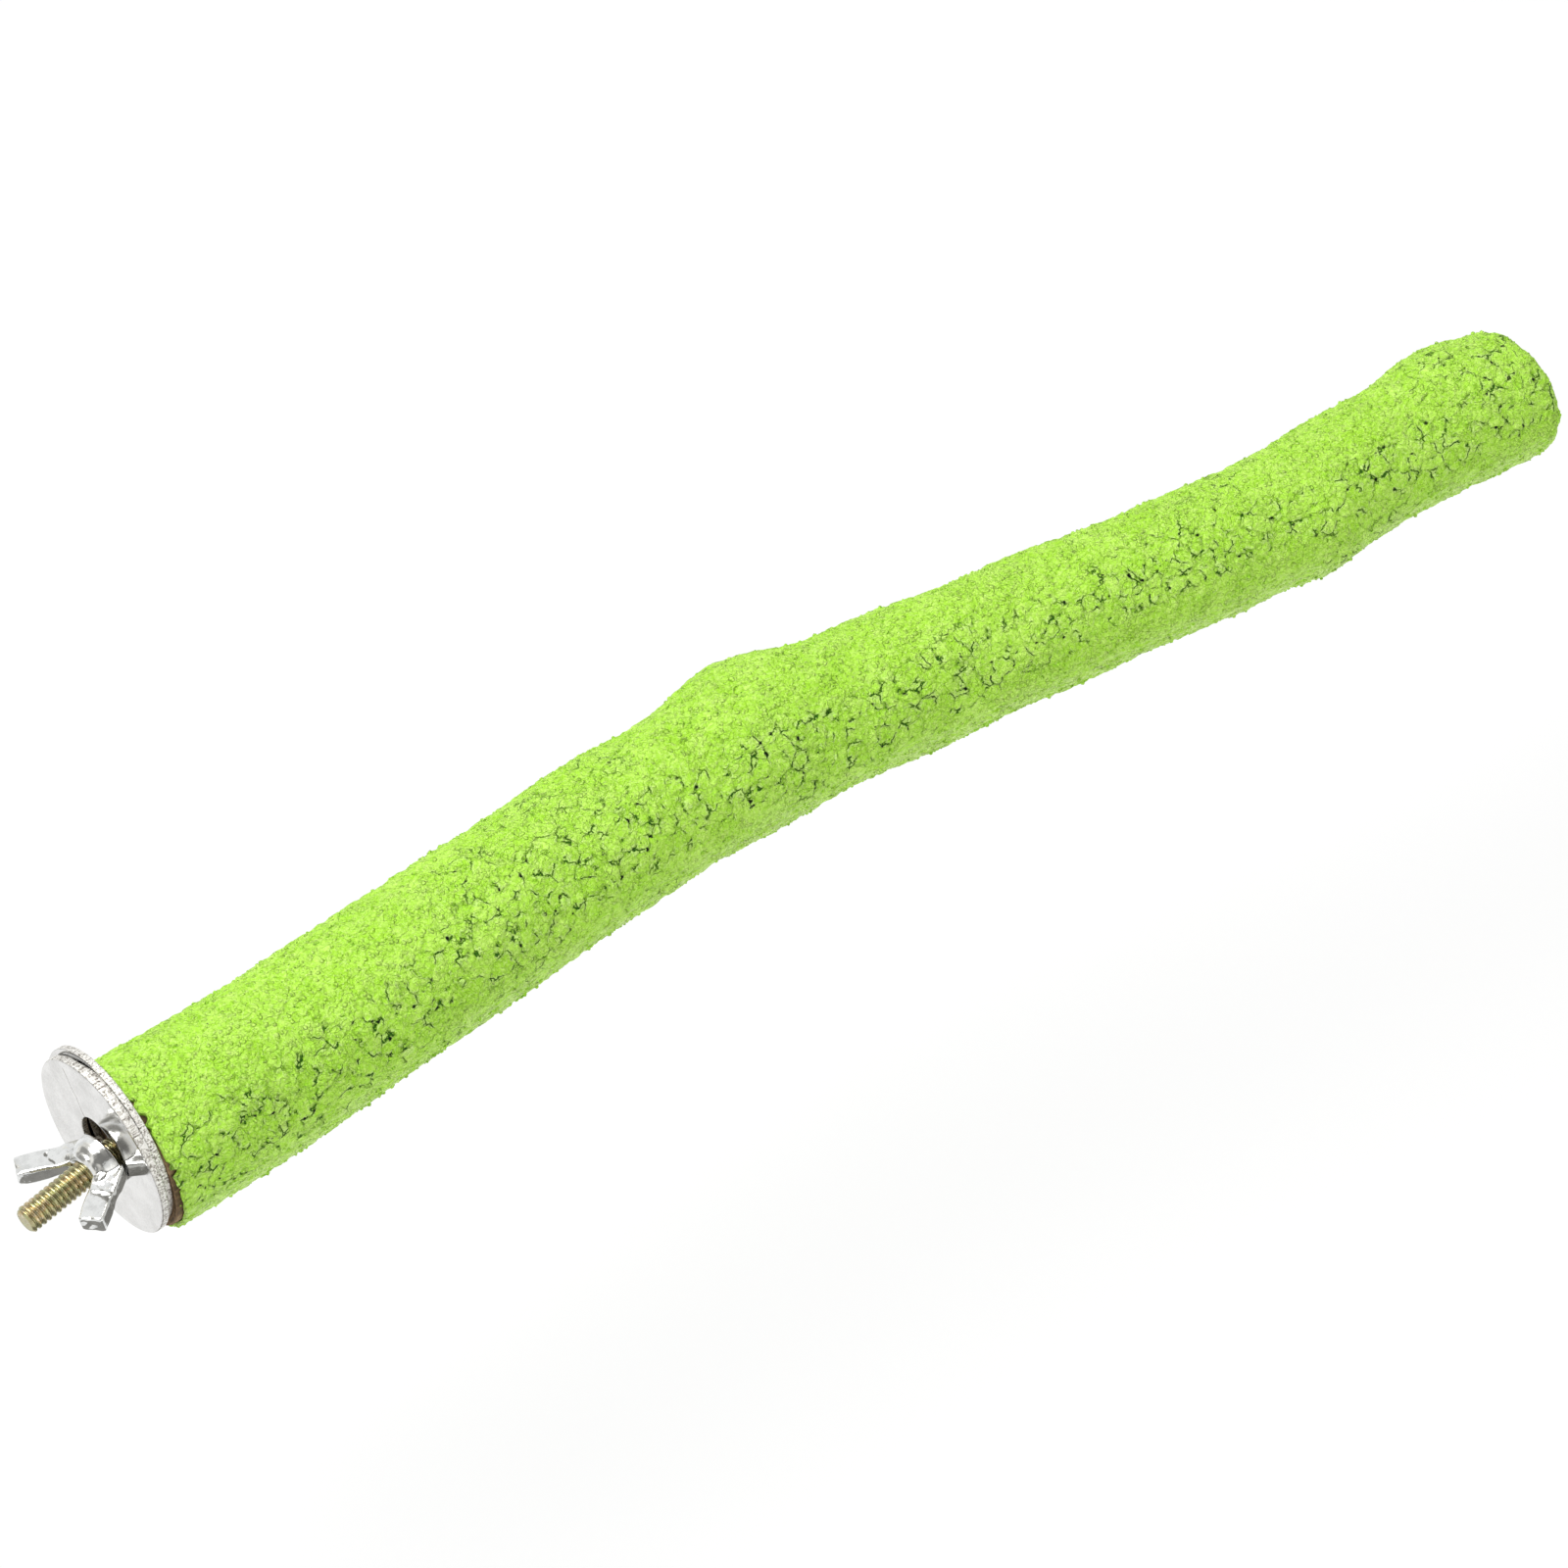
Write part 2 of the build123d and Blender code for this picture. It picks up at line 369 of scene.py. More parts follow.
class Loft:
    """A closed skin through rows of points, as a chain between two poles or as a ring of rows."""

    def __init__(
        self, rows: np.ndarray, poles: Optional[tuple[Vector, Vector]] = None, stagger: bool = False
    ) -> None:
        """Keeps the skin's points.

        Args:
            rows: Points in millimetres, rows by points round the row by 3.
            poles: The points that close the first and the last row. Without them those rows meet.
            stagger: Whether odd rows are turned by half a step, which gives even triangles.
        """
        self.rows = rows
        self.poles = poles
        self.stagger = stagger

    def band(self, first: int, second: int) -> np.ndarray:
        """Returns the faces between two rows, as quads or triangles."""
        count = self.rows.shape[1]
        step = np.arange(count)
        after = (step + 1) % count
        a, a_next = first * count + step, first * count + after
        b, b_next = second * count + step, second * count + after
        if not self.stagger:
            return np.stack([a, a_next, b_next, b], axis=1)
        if first % 2 == 0:
            pairs = [np.stack([a, a_next, b], axis=1), np.stack([a_next, b_next, b], axis=1)]
        else:
            pairs = [np.stack([a, b_next, b], axis=1), np.stack([a, a_next, b_next], axis=1)]
        return np.concatenate(pairs)

    def faces(self) -> list[list[int]]:
        """Returns the skin's faces as lists of point numbers."""
        rows, count = self.rows.shape[:2]
        strips = [self.band(i, i + 1) for i in range(rows - 1)]
        if self.poles is None:
            strips.append(self.band(rows - 1, 0))
            return np.concatenate(strips).tolist()
        faces = np.concatenate(strips).tolist()
        last = (rows - 1) * count
        for step in range(count):
            after = (step + 1) % count
            faces.append([after, step, rows * count])
            faces.append([last + step, last + after, rows * count + 1])
        return faces

    def piece(self, name: str) -> bpy.types.Object:
        """Returns the skin as an object, in metres, smooth and with its faces outwards."""
        points = self.rows.reshape(-1, 3)
        if self.poles is not None:
            points = np.concatenate([points, np.array(self.poles)])
        mesh = bpy.data.meshes.new(name)
        mesh.from_pydata((points * MM).tolist(), [], self.faces())
        mesh.shade_smooth()
        if signed_volume(mesh) < 0:
            mesh.flip_normals()
        mesh.update()
        return link(name, mesh)


def signed_volume(mesh: bpy.types.Mesh) -> float:
    """Returns the volume that a closed mesh encloses, negative where its faces point inwards."""
    mesh.calc_loop_triangles()
    points = mesh_points(mesh)
    corners = np.empty(len(mesh.loop_triangles) * 3, np.int32)
    mesh.loop_triangles.foreach_get("vertices", corners)
    a, b, c = points[corners.reshape(-1, 3)].transpose(1, 0, 2)
    return float((a * np.cross(b, c)).sum() / 6)


def mesh_points(mesh: bpy.types.Mesh) -> np.ndarray:
    """Returns a mesh's points, in metres."""
    points = np.empty(len(mesh.vertices) * 3, np.float32)
    mesh.vertices.foreach_get("co", points)
    return points.reshape(-1, 3).astype(float)


def mesh_normals(mesh: bpy.types.Mesh) -> np.ndarray:
    """Returns the normals at a mesh's points."""
    normals = np.empty(len(mesh.vertices) * 3, np.float32)
    mesh.vertices.foreach_get("normal", normals)
    return normals.reshape(-1, 3).astype(float)


def set_points(mesh: bpy.types.Mesh, points: np.ndarray) -> None:
    """Moves a mesh's points, given in metres."""
    mesh.vertices.foreach_set("co", points.astype(np.float32).ravel())
    mesh.update()


def set_number(mesh: bpy.types.Mesh, name: str, values: np.ndarray) -> None:
    """Stores a number on each of a mesh's points."""
    layer = mesh.attributes.new(name, "FLOAT", "POINT")
    layer.data.foreach_set("value", values.astype(np.float32).ravel())


def hand_in(piece: bpy.types.Object, body: Body, node: Optional[str] = None) -> None:
    """Seats a finished piece on its body and reports it.

    Args:
        piece: The finished piece.
        body: The body it rides on.
        node: The solid it stands for, if any.
    """
    if node is not None:
        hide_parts(node)
    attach(piece, body.value)
    LOG.info("%s rides on %s with %d faces", piece.name, body.value, len(piece.data.polygons))


@dataclass(frozen=True)
class Surface:
    """A new material and what its finish works with."""

    material: bpy.types.Material
    graph: Graph
    shader: bpy.types.Node

    @staticmethod
    def start(name: str) -> "Surface":
        """Returns a new material with one shader joined to its output."""
        material = bpy.data.materials.new(name)
        graph = bare_graph(material)
        shader = graph.node("ShaderNodeBsdfPrincipled")
        graph.node("ShaderNodeOutputMaterial", {"Surface": shader.outputs[0]})
        return Surface(material, graph, shader)

    def millimetres(self) -> Socket:
        """Returns the place on the object, in millimetres."""
        place = self.graph.node("ShaderNodeTexCoord").outputs["Object"]
        return self.graph.vector("MULTIPLY", place, TO_MM)

    def attribute(self, name: str) -> bpy.types.Node:
        """Returns the node that reads one of the mesh's own layers."""
        return self.graph.node("ShaderNodeAttribute", attribute_name=name)

    def bump(self, height: Socket, strength: float = 1.0) -> None:
        """Gives the shader a relief, whose height is in millimetres."""
        inputs = {"Strength": strength, "Distance": MM, "Height": height}
        self.graph.feed(self.shader.inputs["Normal"], self.graph.node("ShaderNodeBump", inputs).outputs[0])

    def set(self, **values: Feed) -> None:
        """Sets the shader's inputs, whose names are written with underscores."""
        for name, value in values.items():
            self.graph.feed(self.shader.inputs[name.replace("_", " ")], value)


@dataclass(frozen=True)
class Crumbs:
    """Outputs of the crumb rule."""

    place: Socket
    hollow_shade: Socket
    seam: Socket
    lip: Socket
    crack: Socket
    dot: Socket
    pimple: Socket
    lift: Socket
    tone: Socket
    height: Socket


@dataclass(frozen=True)
class CrumbRule:
    """How the coating dries into flat crumbs and pimples with broken cracks between them.

    Sizes are in millimetres, scales in waves to a millimetre, and spans are the ends of smooth steps.
    """

    crumb_size: float = 3.2
    crumb_step: float = 0.22
    groove_depth: float = 0.18
    groove_width: float = 0.4
    crack_width: float = 0.13
    dot_size: float = 0.34
    pimple_size: float = 1.0
    pimple_height: float = 0.22
    swell: float = 0.4
    grain: float = 0.7
    blob_height: float = 1.0
    sink: float = 0.3
    seed: float = 3.0
    seed_step: float = 31.7
    patch_scale: float = 0.06
    gate_scale: float = 0.5
    grain_scale: float = 0.9
    bend_scale: float = 0.2
    blob_scale: float = 0.3
    bend_reach: float = 3.6
    grain_reach: float = 1.7
    pimple_reach: float = 0.8
    zone_shares: Triple = (0.6, 1.35, -0.43)
    zone_span: Span = (0.22, 0.66)
    seam_edge: Span = (0.02, 0.17)
    seam_gate: Span = (0.46, 0.55)
    lip_start: Span = (0.12, 0.22)
    lip_end: Span = (0.28, 0.5)
    lip_gate: Span = (0.48, 0.56)
    crack_ragged: Span = (3.0, -0.6)
    crack_core: float = 0.3
    crack_gate: Span = (0.555, 0.585)
    dot_spread: Span = (0.12, 0.3)
    dot_share: float = 0.2
    dot_edge: Span = (0.18, 0.42)
    dot_gate: Span = (0.48, 0.52)
    pimple_spread: Span = (0.22, 0.52)
    pimple_chance: Span = (0.1, 0.9)

    def build(self, graph: Graph, rest: Socket, open_side: Socket, size: SizeSource) -> Crumbs:
        """Builds the rule's nodes.

        Args:
            graph: The tree to add to, of a material or of geometry nodes.
            rest: The place on the smooth coating, in metres.
            open_side: How far the crumbs stand open on this side, from 0 to 1.
            size: Gives each of the rule's sizes as a value or a socket.

        Returns:
            The rule's outputs.
        """
        shift = graph.math("MULTIPLY", size("seed"), self.seed_step)
        place = graph.vector("MULTIPLY_ADD", rest, TO_MM, shift)
        patch = graph.noise(place, self.patch_scale).outputs[0]
        gate = graph.noise(place, self.gate_scale).outputs[0]
        grain = graph.noise(place, self.grain_scale, 3.0)
        open_share, patch_share, least = self.zone_shares
        loose = graph.total((open_side, open_share), (patch, patch_share), (1.0, least))
        zone = graph.smooth(*self.zone_span, loose)

        warped = graph.warp(place, graph.noise(place, self.bend_scale).outputs[1], self.bend_reach)
        warped = graph.warp(warped, grain.outputs[1], self.grain_reach)
        scale = graph.math("DIVIDE", 1.0, size("crumb_size"))
        nearest = graph.cells(warped, scale, Feature.EDGE).outputs["Distance"]
        edge = graph.product(nearest, size("crumb_size"))
        lift, _, tone = graph.parts(graph.cells(warped, scale, Feature.NEAREST).outputs["Color"])
        seam = graph.product(graph.fall(*self.seam_edge, edge), graph.smooth(*self.seam_gate, gate), zone)
        # The lips beside the seams: raised in the relief, and paled in the colour as a painted highlight.
        beyond = graph.product(graph.smooth(*self.lip_start, edge), graph.fall(*self.lip_end, edge))
        lip = graph.product(beyond, graph.smooth(*self.lip_gate, gate), zone)

        ragged, narrow = self.crack_ragged
        width = graph.product(size("crack_width"), graph.total((grain.outputs[0], ragged), (1.0, narrow)))
        near_crack = graph.fall(graph.math("MULTIPLY", width, self.crack_core), width, edge)
        # The crack mask: it cuts the relief, and the finish paints shade into it.
        crack = graph.product(near_crack, graph.smooth(*self.crack_gate, gate), zone)
        spot_scale = graph.math("DIVIDE", self.dot_share, size("dot_size"))
        spots = graph.cells(place, spot_scale, Feature.NEAREST).outputs["Distance"]
        near_spot = graph.fall(*self.dot_spread, spots)
        beside = graph.fall(*self.dot_edge, edge)
        dot = graph.product(near_spot, beside, graph.smooth(*self.dot_gate, gate), zone)

        pimple_scale = graph.math("DIVIDE", 1.0, size("pimple_size"))
        rubbed = graph.warp(place, grain.outputs[1], self.pimple_reach)
        pimples = graph.cells(rubbed, pimple_scale, Feature.NEAREST)
        chance, _, _ = graph.parts(pimples.outputs["Color"])
        dome = graph.fall(*self.pimple_spread, pimples.outputs["Distance"])
        fewer = graph.math("MULTIPLY_ADD", zone, -0.5, 1.0)
        pimple = graph.product(dome, graph.product(graph.smooth(*self.pimple_chance, chance), fewer))

        # The groove mask: it lowers the skin here, and the finish paints shade with it.
        hollow_shade = graph.product(graph.fall(0.0, size("groove_width"), edge), zone)
        drop = graph.product(hollow_shade, size("groove_depth"))
        drop = graph.math("ADD", drop, graph.product(lift, size("crumb_step")))
        drop = graph.math("ADD", drop, size("sink"))
        rise = graph.product(graph.math("SUBTRACT", grain.outputs[0], 0.5), size("grain"))
        rise = graph.math("ADD", rise, graph.product(graph.math("SUBTRACT", patch, 0.5), size("swell")))
        rise = graph.math("ADD", rise, graph.product(pimple, size("pimple_height")))
        blobs = graph.folds(place, self.blob_scale)
        rise = graph.math("ADD", rise, graph.product(blobs, size("blob_height")))
        height = graph.math("MINIMUM", graph.math("SUBTRACT", rise, drop), 0.0)
        return Crumbs(place, hollow_shade, seam, lip, crack, dot, pimple, lift, tone, height)


@dataclass(frozen=True)
class GritGrain:
    """Outputs of the coating's fine textures."""

    fine: Socket
    wrinkles: Socket
    ripples: Socket
    flakes: Socket
    crumpled: Socket
    streaks: Socket
    pinhole: Socket
    under: Socket


@dataclass(frozen=True)
class GritFinish:
    """Lime green sand paste: matt and toned crumb by crumb, with painted shade in its hollows, creases,
    cracks, holes and pits, and painted light on its fold tops and lips.
    """

    deep_leaf: Colour = (0.30, 0.645, 0.008, 1)
    pale_leaf: Colour = (0.59, 0.86, 0.185, 1)
    # Chalk: the paste's own pale flecks and streaks, and the painted highlight on the lips beside the seams.
    chalk_and_highlight: Colour = (0.66, 0.86, 0.34, 1)
    # Painted shade colour of the grooves, seams and creases.
    hollow_shade: Colour = (0.14, 0.42, 0.003, 1)
    # Painted shade colours inside cracks and pinholes, and inside the pits.
    crack: Colour = (0.012, 0.10, 0.001, 1)
    pit_shade: Colour = (0.002, 0.010, 0.003, 1)
    roughness: float = 0.6
    specular: float = 0.1
    fine_scale: float = 2.2
    wrinkle_scale: float = 0.55
    ripple_scale: float = 1.25
    flake_scale: float = 0.8
    flake_span: Span = (0.47, 0.53)
    patch_scale: float = 0.15
    patch_span: Span = (0.36, 0.62)
    patch_shares: Span = (0.3, 0.5)
    streak_stretch: Triple = (0.2, 1.7, 1.7)
    hole_scale: float = 0.62
    hole_spread: Span = (0.05, 0.14)
    hole_chance: Span = (0.24, 0.28)

    def grain(self, surface: Surface, place: Socket) -> GritGrain:
        """Returns the fine textures at a place in millimetres."""
        graph = surface.graph
        patch = graph.smooth(*self.patch_span, graph.noise(place, self.patch_scale).outputs[0])
        stretched = graph.vector("MULTIPLY", place, self.streak_stretch)
        holes = graph.cells(place, self.hole_scale, Feature.NEAREST)
        chance, _, _ = graph.parts(holes.outputs["Color"])
        pinhole = graph.fall(*self.hole_spread, holes.outputs["Distance"])
        return GritGrain(
            fine=graph.noise(place, self.fine_scale, 3.0, 0.6).outputs[0],
            wrinkles=graph.folds(place, self.wrinkle_scale),
            ripples=graph.folds(place, self.ripple_scale),
            flakes=graph.smooth(*self.flake_span, graph.noise(place, self.flake_scale).outputs[0]),
            crumpled=graph.math("MULTIPLY_ADD", patch, *self.patch_shares),
            streaks=graph.noise(stretched, 1.0, 3.0, 0.6).outputs[0],
            pinhole=graph.product(pinhole, graph.fall(*self.hole_chance, chance)),
            under=surface.attribute("under").outputs["Fac"],
        )

    def colour(self, graph: Graph, crumbs: Crumbs, grain: GritGrain) -> Socket:
        """Returns the paste's colour: painted light on the tops of folds, pimples and crack lips, painted
        shade in hollows, seams, creases, cracks, holes and pits, and paler streaks underneath.

        Args:
            graph: The material's tree.
            crumbs: The crumb rule's outputs.
            grain: The fine textures.

        Returns:
            The colour.
        """
        # Painted light and shade: the paste is paler on the tops of its folds and pimples and deeper green in
        # the low places between them. The crumbs' own tones and the fine grain mixed in are the paste's real
        # colour.
        lit_wrinkle_tops = graph.smooth(0.03, 0.3, grain.wrinkles)
        lit_ripple_tops = graph.smooth(0.03, 0.35, grain.ripples)
        tops = graph.total((lit_wrinkle_tops, 0.22), (lit_ripple_tops, 0.25))
        tone = graph.total(
            (tops, 1.0), (crumbs.tone, 0.2), (grain.fine, 0.22), (crumbs.pimple, 0.15), (1.0, 0.04)
        )
        colour = graph.blend(tone, self.deep_leaf, self.pale_leaf)
        # Paler streaks on the underside of the branch.
        pale_streaks_below = graph.smooth(0.42, 0.6, graph.total((grain.streaks, 0.65), (grain.fine, 0.35)))
        pale_streaks_below = graph.product(pale_streaks_below, grain.under, 0.8)
        # Painted highlight: the lips beside the seams are paled towards chalk. The chalk flecks from the fine
        # grain are the paste's own.
        pale = graph.math("MAXIMUM", pale_streaks_below, graph.math("MULTIPLY", crumbs.lip, 0.45))
        flecks = graph.math("MULTIPLY", graph.smooth(0.54, 0.68, grain.fine), 0.3)
        colour = graph.blend(graph.math("MAXIMUM", pale, flecks), colour, self.chalk_and_highlight)
        # Painted shade: the paste darkens towards a deep green in the grooves and seams between crumbs and in
        # the creases of its ripples.
        crease_shade = graph.product(graph.fall(0.0, 0.09, grain.ripples), grain.crumpled)
        shade = graph.total((crumbs.hollow_shade, 0.05), (crumbs.seam, 0.3), (crease_shade, 0.25))
        colour = graph.blend(shade, colour, self.hollow_shade)
        # Painted shade: cracks, pinholes and the dots beside the seams are darkened towards black green for
        # the shade inside them.
        shadow = graph.math("MAXIMUM", crumbs.crack, graph.math("MULTIPLY", grain.pinhole, 0.75))
        colour = graph.blend(graph.math("MULTIPLY", shadow, 0.95), colour, self.crack)
        return graph.blend(crumbs.dot, colour, self.pit_shade)

    def relief(self, graph: Graph, crumbs: Crumbs, grain: GritGrain) -> Socket:
        """Returns the height of the paste's fine relief, in millimetres.

        Args:
            graph: The material's tree.
            crumbs: The crumb rule's outputs.
            grain: The fine textures.

        Returns:
            The height.
        """
        folds = graph.total((grain.wrinkles, 0.5), (grain.ripples, 0.38), (grain.flakes, 0.32))
        folded = graph.product(folds, grain.crumpled)
        raised = graph.total(
            (folded, 1.0), (grain.fine, 0.18), (crumbs.lift, -0.16), (crumbs.pimple, 0.45), (crumbs.lip, 0.1)
        )
        cuts = graph.total(
            (crumbs.hollow_shade, -0.1), (crumbs.seam, -0.24), (crumbs.crack, -0.25), (crumbs.dot, -0.3)
        )
        streaks = graph.product(grain.streaks, grain.under)
        return graph.math("ADD", raised, graph.total((cuts, 1.0), (grain.pinhole, -0.15), (streaks, 0.4)))

    def material(self, rule: CrumbRule) -> bpy.types.Material:
        """Returns the coating's material, whose cracks follow the same rule as its relief."""
        surface = Surface.start("green_grit_paste")
        graph = surface.graph
        rest = surface.attribute("rest").outputs["Vector"]
        open_side = surface.attribute("open_side").outputs["Fac"]
        crumbs = rule.build(graph, rest, open_side, lambda name: getattr(rule, name))
        grain = self.grain(surface, crumbs.place)
        colour = self.colour(graph, crumbs, grain)
        surface.set(Base_Color=colour, Roughness=self.roughness, Specular_IOR_Level=self.specular)
        surface.bump(self.relief(graph, crumbs, grain))
        return surface.material


@dataclass(frozen=True)
class WoodFinish:
    """Brown wood: growth rings on the sawn face and thin dark bark round the side."""

    dark: Colour = (0.05, 0.03, 0.014, 1)
    bark: Colour = (0.20, 0.125, 0.06, 1)
    light: Colour = (0.42, 0.29, 0.17, 1)
    roughness: float = 0.7
    ring_width: float = 0.9

    def material(self) -> bpy.types.Material:
        """Returns the wood's material."""
        surface = Surface.start("brown_branch_wood")
        graph = surface.graph
        place = surface.millimetres()
        fibres = graph.noise(graph.vector("MULTIPLY", place, (0.25, 1.5, 1.5)), 1.0, 4.0, 0.65).outputs[0]
        _, across, up = graph.parts(place)
        wobble = graph.noise(place, 0.3, 2.0).outputs[0]
        radius = graph.radius(across, up)
        rings = graph.math("SINE", graph.total((radius, FULL_TURN / self.ring_width), (wobble, 6.0)))
        grain = graph.total((fibres, 0.85), (rings, 0.08))
        stops = [(0.22, self.dark), (0.45, self.bark), (0.72, self.light)]
        surface.set(Base_Color=graph.ramp(grain, stops), Roughness=self.roughness, Specular_IOR_Level=0.25)
        surface.bump(graph.total((fibres, 0.35), (rings, 0.03)))
        return surface.material


@dataclass(frozen=True)
class YellowZincFinish:
    """Steel with yellow zinc plating, gold to olive with a green and amber bloom, and painted shade in its
    thread grooves.
    """

    olive: Colour = (0.29, 0.265, 0.135, 1)
    gold: Colour = (0.46, 0.41, 0.24, 1)
    green: Colour = (0.40, 0.42, 0.22, 1)
    amber: Colour = (0.50, 0.37, 0.18, 1)
    pale: Colour = (0.70, 0.68, 0.52, 1)
    # Painted shade colour in the thread grooves.
    groove: Colour = (0.19, 0.17, 0.09, 1)
    roughness: float = 0.26

    def material(self) -> bpy.types.Material:
        """Returns the stud's material."""
        surface = Surface.start("yellow_zinc_stud")
        graph = surface.graph
        place = surface.millimetres()
        bloom = graph.noise(place, 0.55, 2.0, 0.6).outputs[0]
        places = (0.28, 0.42, 0.5, 0.58, 0.72)
        stops = list(zip(places, (self.olive, self.gold, self.green, self.amber, self.pale)))
        fine = graph.noise(place, 6.0, 2.0).outputs[0]
        # Painted shade: the colour darkens where the thread is cut deepest.
        groove = graph.product(graph.smooth(0.45, 1.0, surface.attribute("groove").outputs["Fac"]), 0.55)
        surface.set(Base_Color=graph.blend(groove, graph.ramp(bloom, stops), self.groove), Metallic=1.0)
        surface.set(Roughness=graph.total((fine, 0.18), (1.0, self.roughness - 0.09)))
        surface.bump(graph.math("MULTIPLY", fine, 0.02))
        return surface.material


@dataclass(frozen=True)
class BrightPlateFinish:
    """Bright plated steel: a mirror face with fine scratches and a sheared, streaky rim."""

    plate: Colour = (0.79, 0.785, 0.77, 1)
    cloudy: Colour = (0.60, 0.595, 0.58, 1)
    scored: Colour = (0.36, 0.34, 0.31, 1)
    rim_dark: Colour = (0.11, 0.095, 0.08, 1)
    rim_mid: Colour = (0.48, 0.455, 0.41, 1)
    rim_light: Colour = (0.88, 0.87, 0.83, 1)
    face_roughness: float = 0.09
    rim_roughness: float = 0.36
    score_from: Span = (10.2, 13.0)
    score_to: Span = (5.2, 4.9)

    def material(self) -> bpy.types.Material:
        """Returns the washers' material."""
        surface = Surface.start("bright_washer_plate")
        graph = surface.graph
        place = surface.millimetres()
        rim = surface.attribute("rim").outputs["Fac"]
        wrap = graph.node("ShaderNodeUVMap", uv_map="wrap").outputs[0]
        streaks = graph.noise(graph.vector("MULTIPLY", wrap, (2.6, 0.35, 1.0)), 1.0, 4.0, 0.7).outputs[0]
        scratches = graph.noise(graph.vector("MULTIPLY", place, (1.0, 3.2, 0.12)), 1.0, 3.0, 0.7).outputs[0]
        haze = graph.noise(place, 0.25, 3.0).outputs[0]
        speckle = graph.noise(place, 2.8, 4.0, 0.7).outputs[0]
        score = self.score(graph, place, haze)
        face_tone = graph.smooth(0.35, 0.7, graph.total((haze, 0.5), (speckle, 0.5)))
        face_colour = graph.blend(score, graph.blend(face_tone, self.plate, self.cloudy), self.scored)
        stops = [(0.40, self.rim_dark), (0.46, self.rim_mid), (0.53, self.rim_light)]
        rim_colour = graph.ramp(graph.total((speckle, 0.62), (streaks, 0.38)), stops)
        surface.set(Base_Color=graph.blend(rim, face_colour, rim_colour), Metallic=1.0)
        face = graph.total((scratches, 0.10), (haze, 0.08), (1.0, self.face_roughness - 0.09))
        surface.set(Roughness=graph.math("MULTIPLY_ADD", rim, self.rim_roughness - self.face_roughness, face))
        rim_relief = graph.product(graph.total((streaks, 0.14), (speckle, 0.12)), rim)
        surface.bump(graph.total((rim_relief, 1.0), (scratches, 0.004), (score, -0.02)))
        return surface.material

    def score(self, graph: Graph, place: Socket, wobble: Socket) -> Socket:
        """Returns 1 along the long scratch on the outer face, and 0 elsewhere.

        Args:
            graph: The tree to add to.
            place: The place on the washer, in millimetres.
            wobble: A slow noise that bends the scratch.

        Returns:
            The scratch's strength.
        """
        _, across, up = graph.parts(place)
        step = Vector(self.score_to) - Vector(self.score_from)
        line = step.normalized()
        across = graph.math("SUBTRACT", across, self.score_from[0])
        up = graph.math("SUBTRACT", up, self.score_from[1])
        along = graph.total((across, line.x), (up, line.y))
        aside = graph.total((across, line.y), (up, -line.x), (wobble, 1.6), (1.0, -0.8))
        past = graph.math("SUBTRACT", along, step.length)
        inside = graph.product(graph.smooth(-0.4, 0.4, along), graph.fall(0.0, 0.8, past))
        return graph.product(graph.fall(0.05, 0.17, graph.math("ABSOLUTE", aside)), inside, 0.9)


@dataclass(frozen=True)
class ForgedZincFinish:
    """Forged steel under bright zinc: soft lumps, cloudy gloss and small dents."""

    bright: Colour = (0.80, 0.81, 0.80, 1)
    dull: Colour = (0.66, 0.67, 0.66, 1)
    roughness: float = 0.12

    def material(self) -> bpy.types.Material:
        """Returns the wing nut's material."""
        surface = Surface.start("forged_zinc_nut")
        graph = surface.graph
        place = surface.millimetres()
        cloud = graph.noise(place, 0.45, 3.0, 0.6).outputs[0]
        dents = graph.noise(place, 1.6, 3.0, 0.55).outputs[0]
        colour = graph.blend(graph.smooth(0.4, 0.65, cloud), self.bright, self.dull)
        surface.set(Base_Color=colour, Metallic=1.0)
        surface.set(Roughness=graph.total((cloud, 0.16), (1.0, self.roughness - 0.08)))
        surface.bump(graph.total((dents, 0.022), (cloud, 0.05)))
        return surface.material


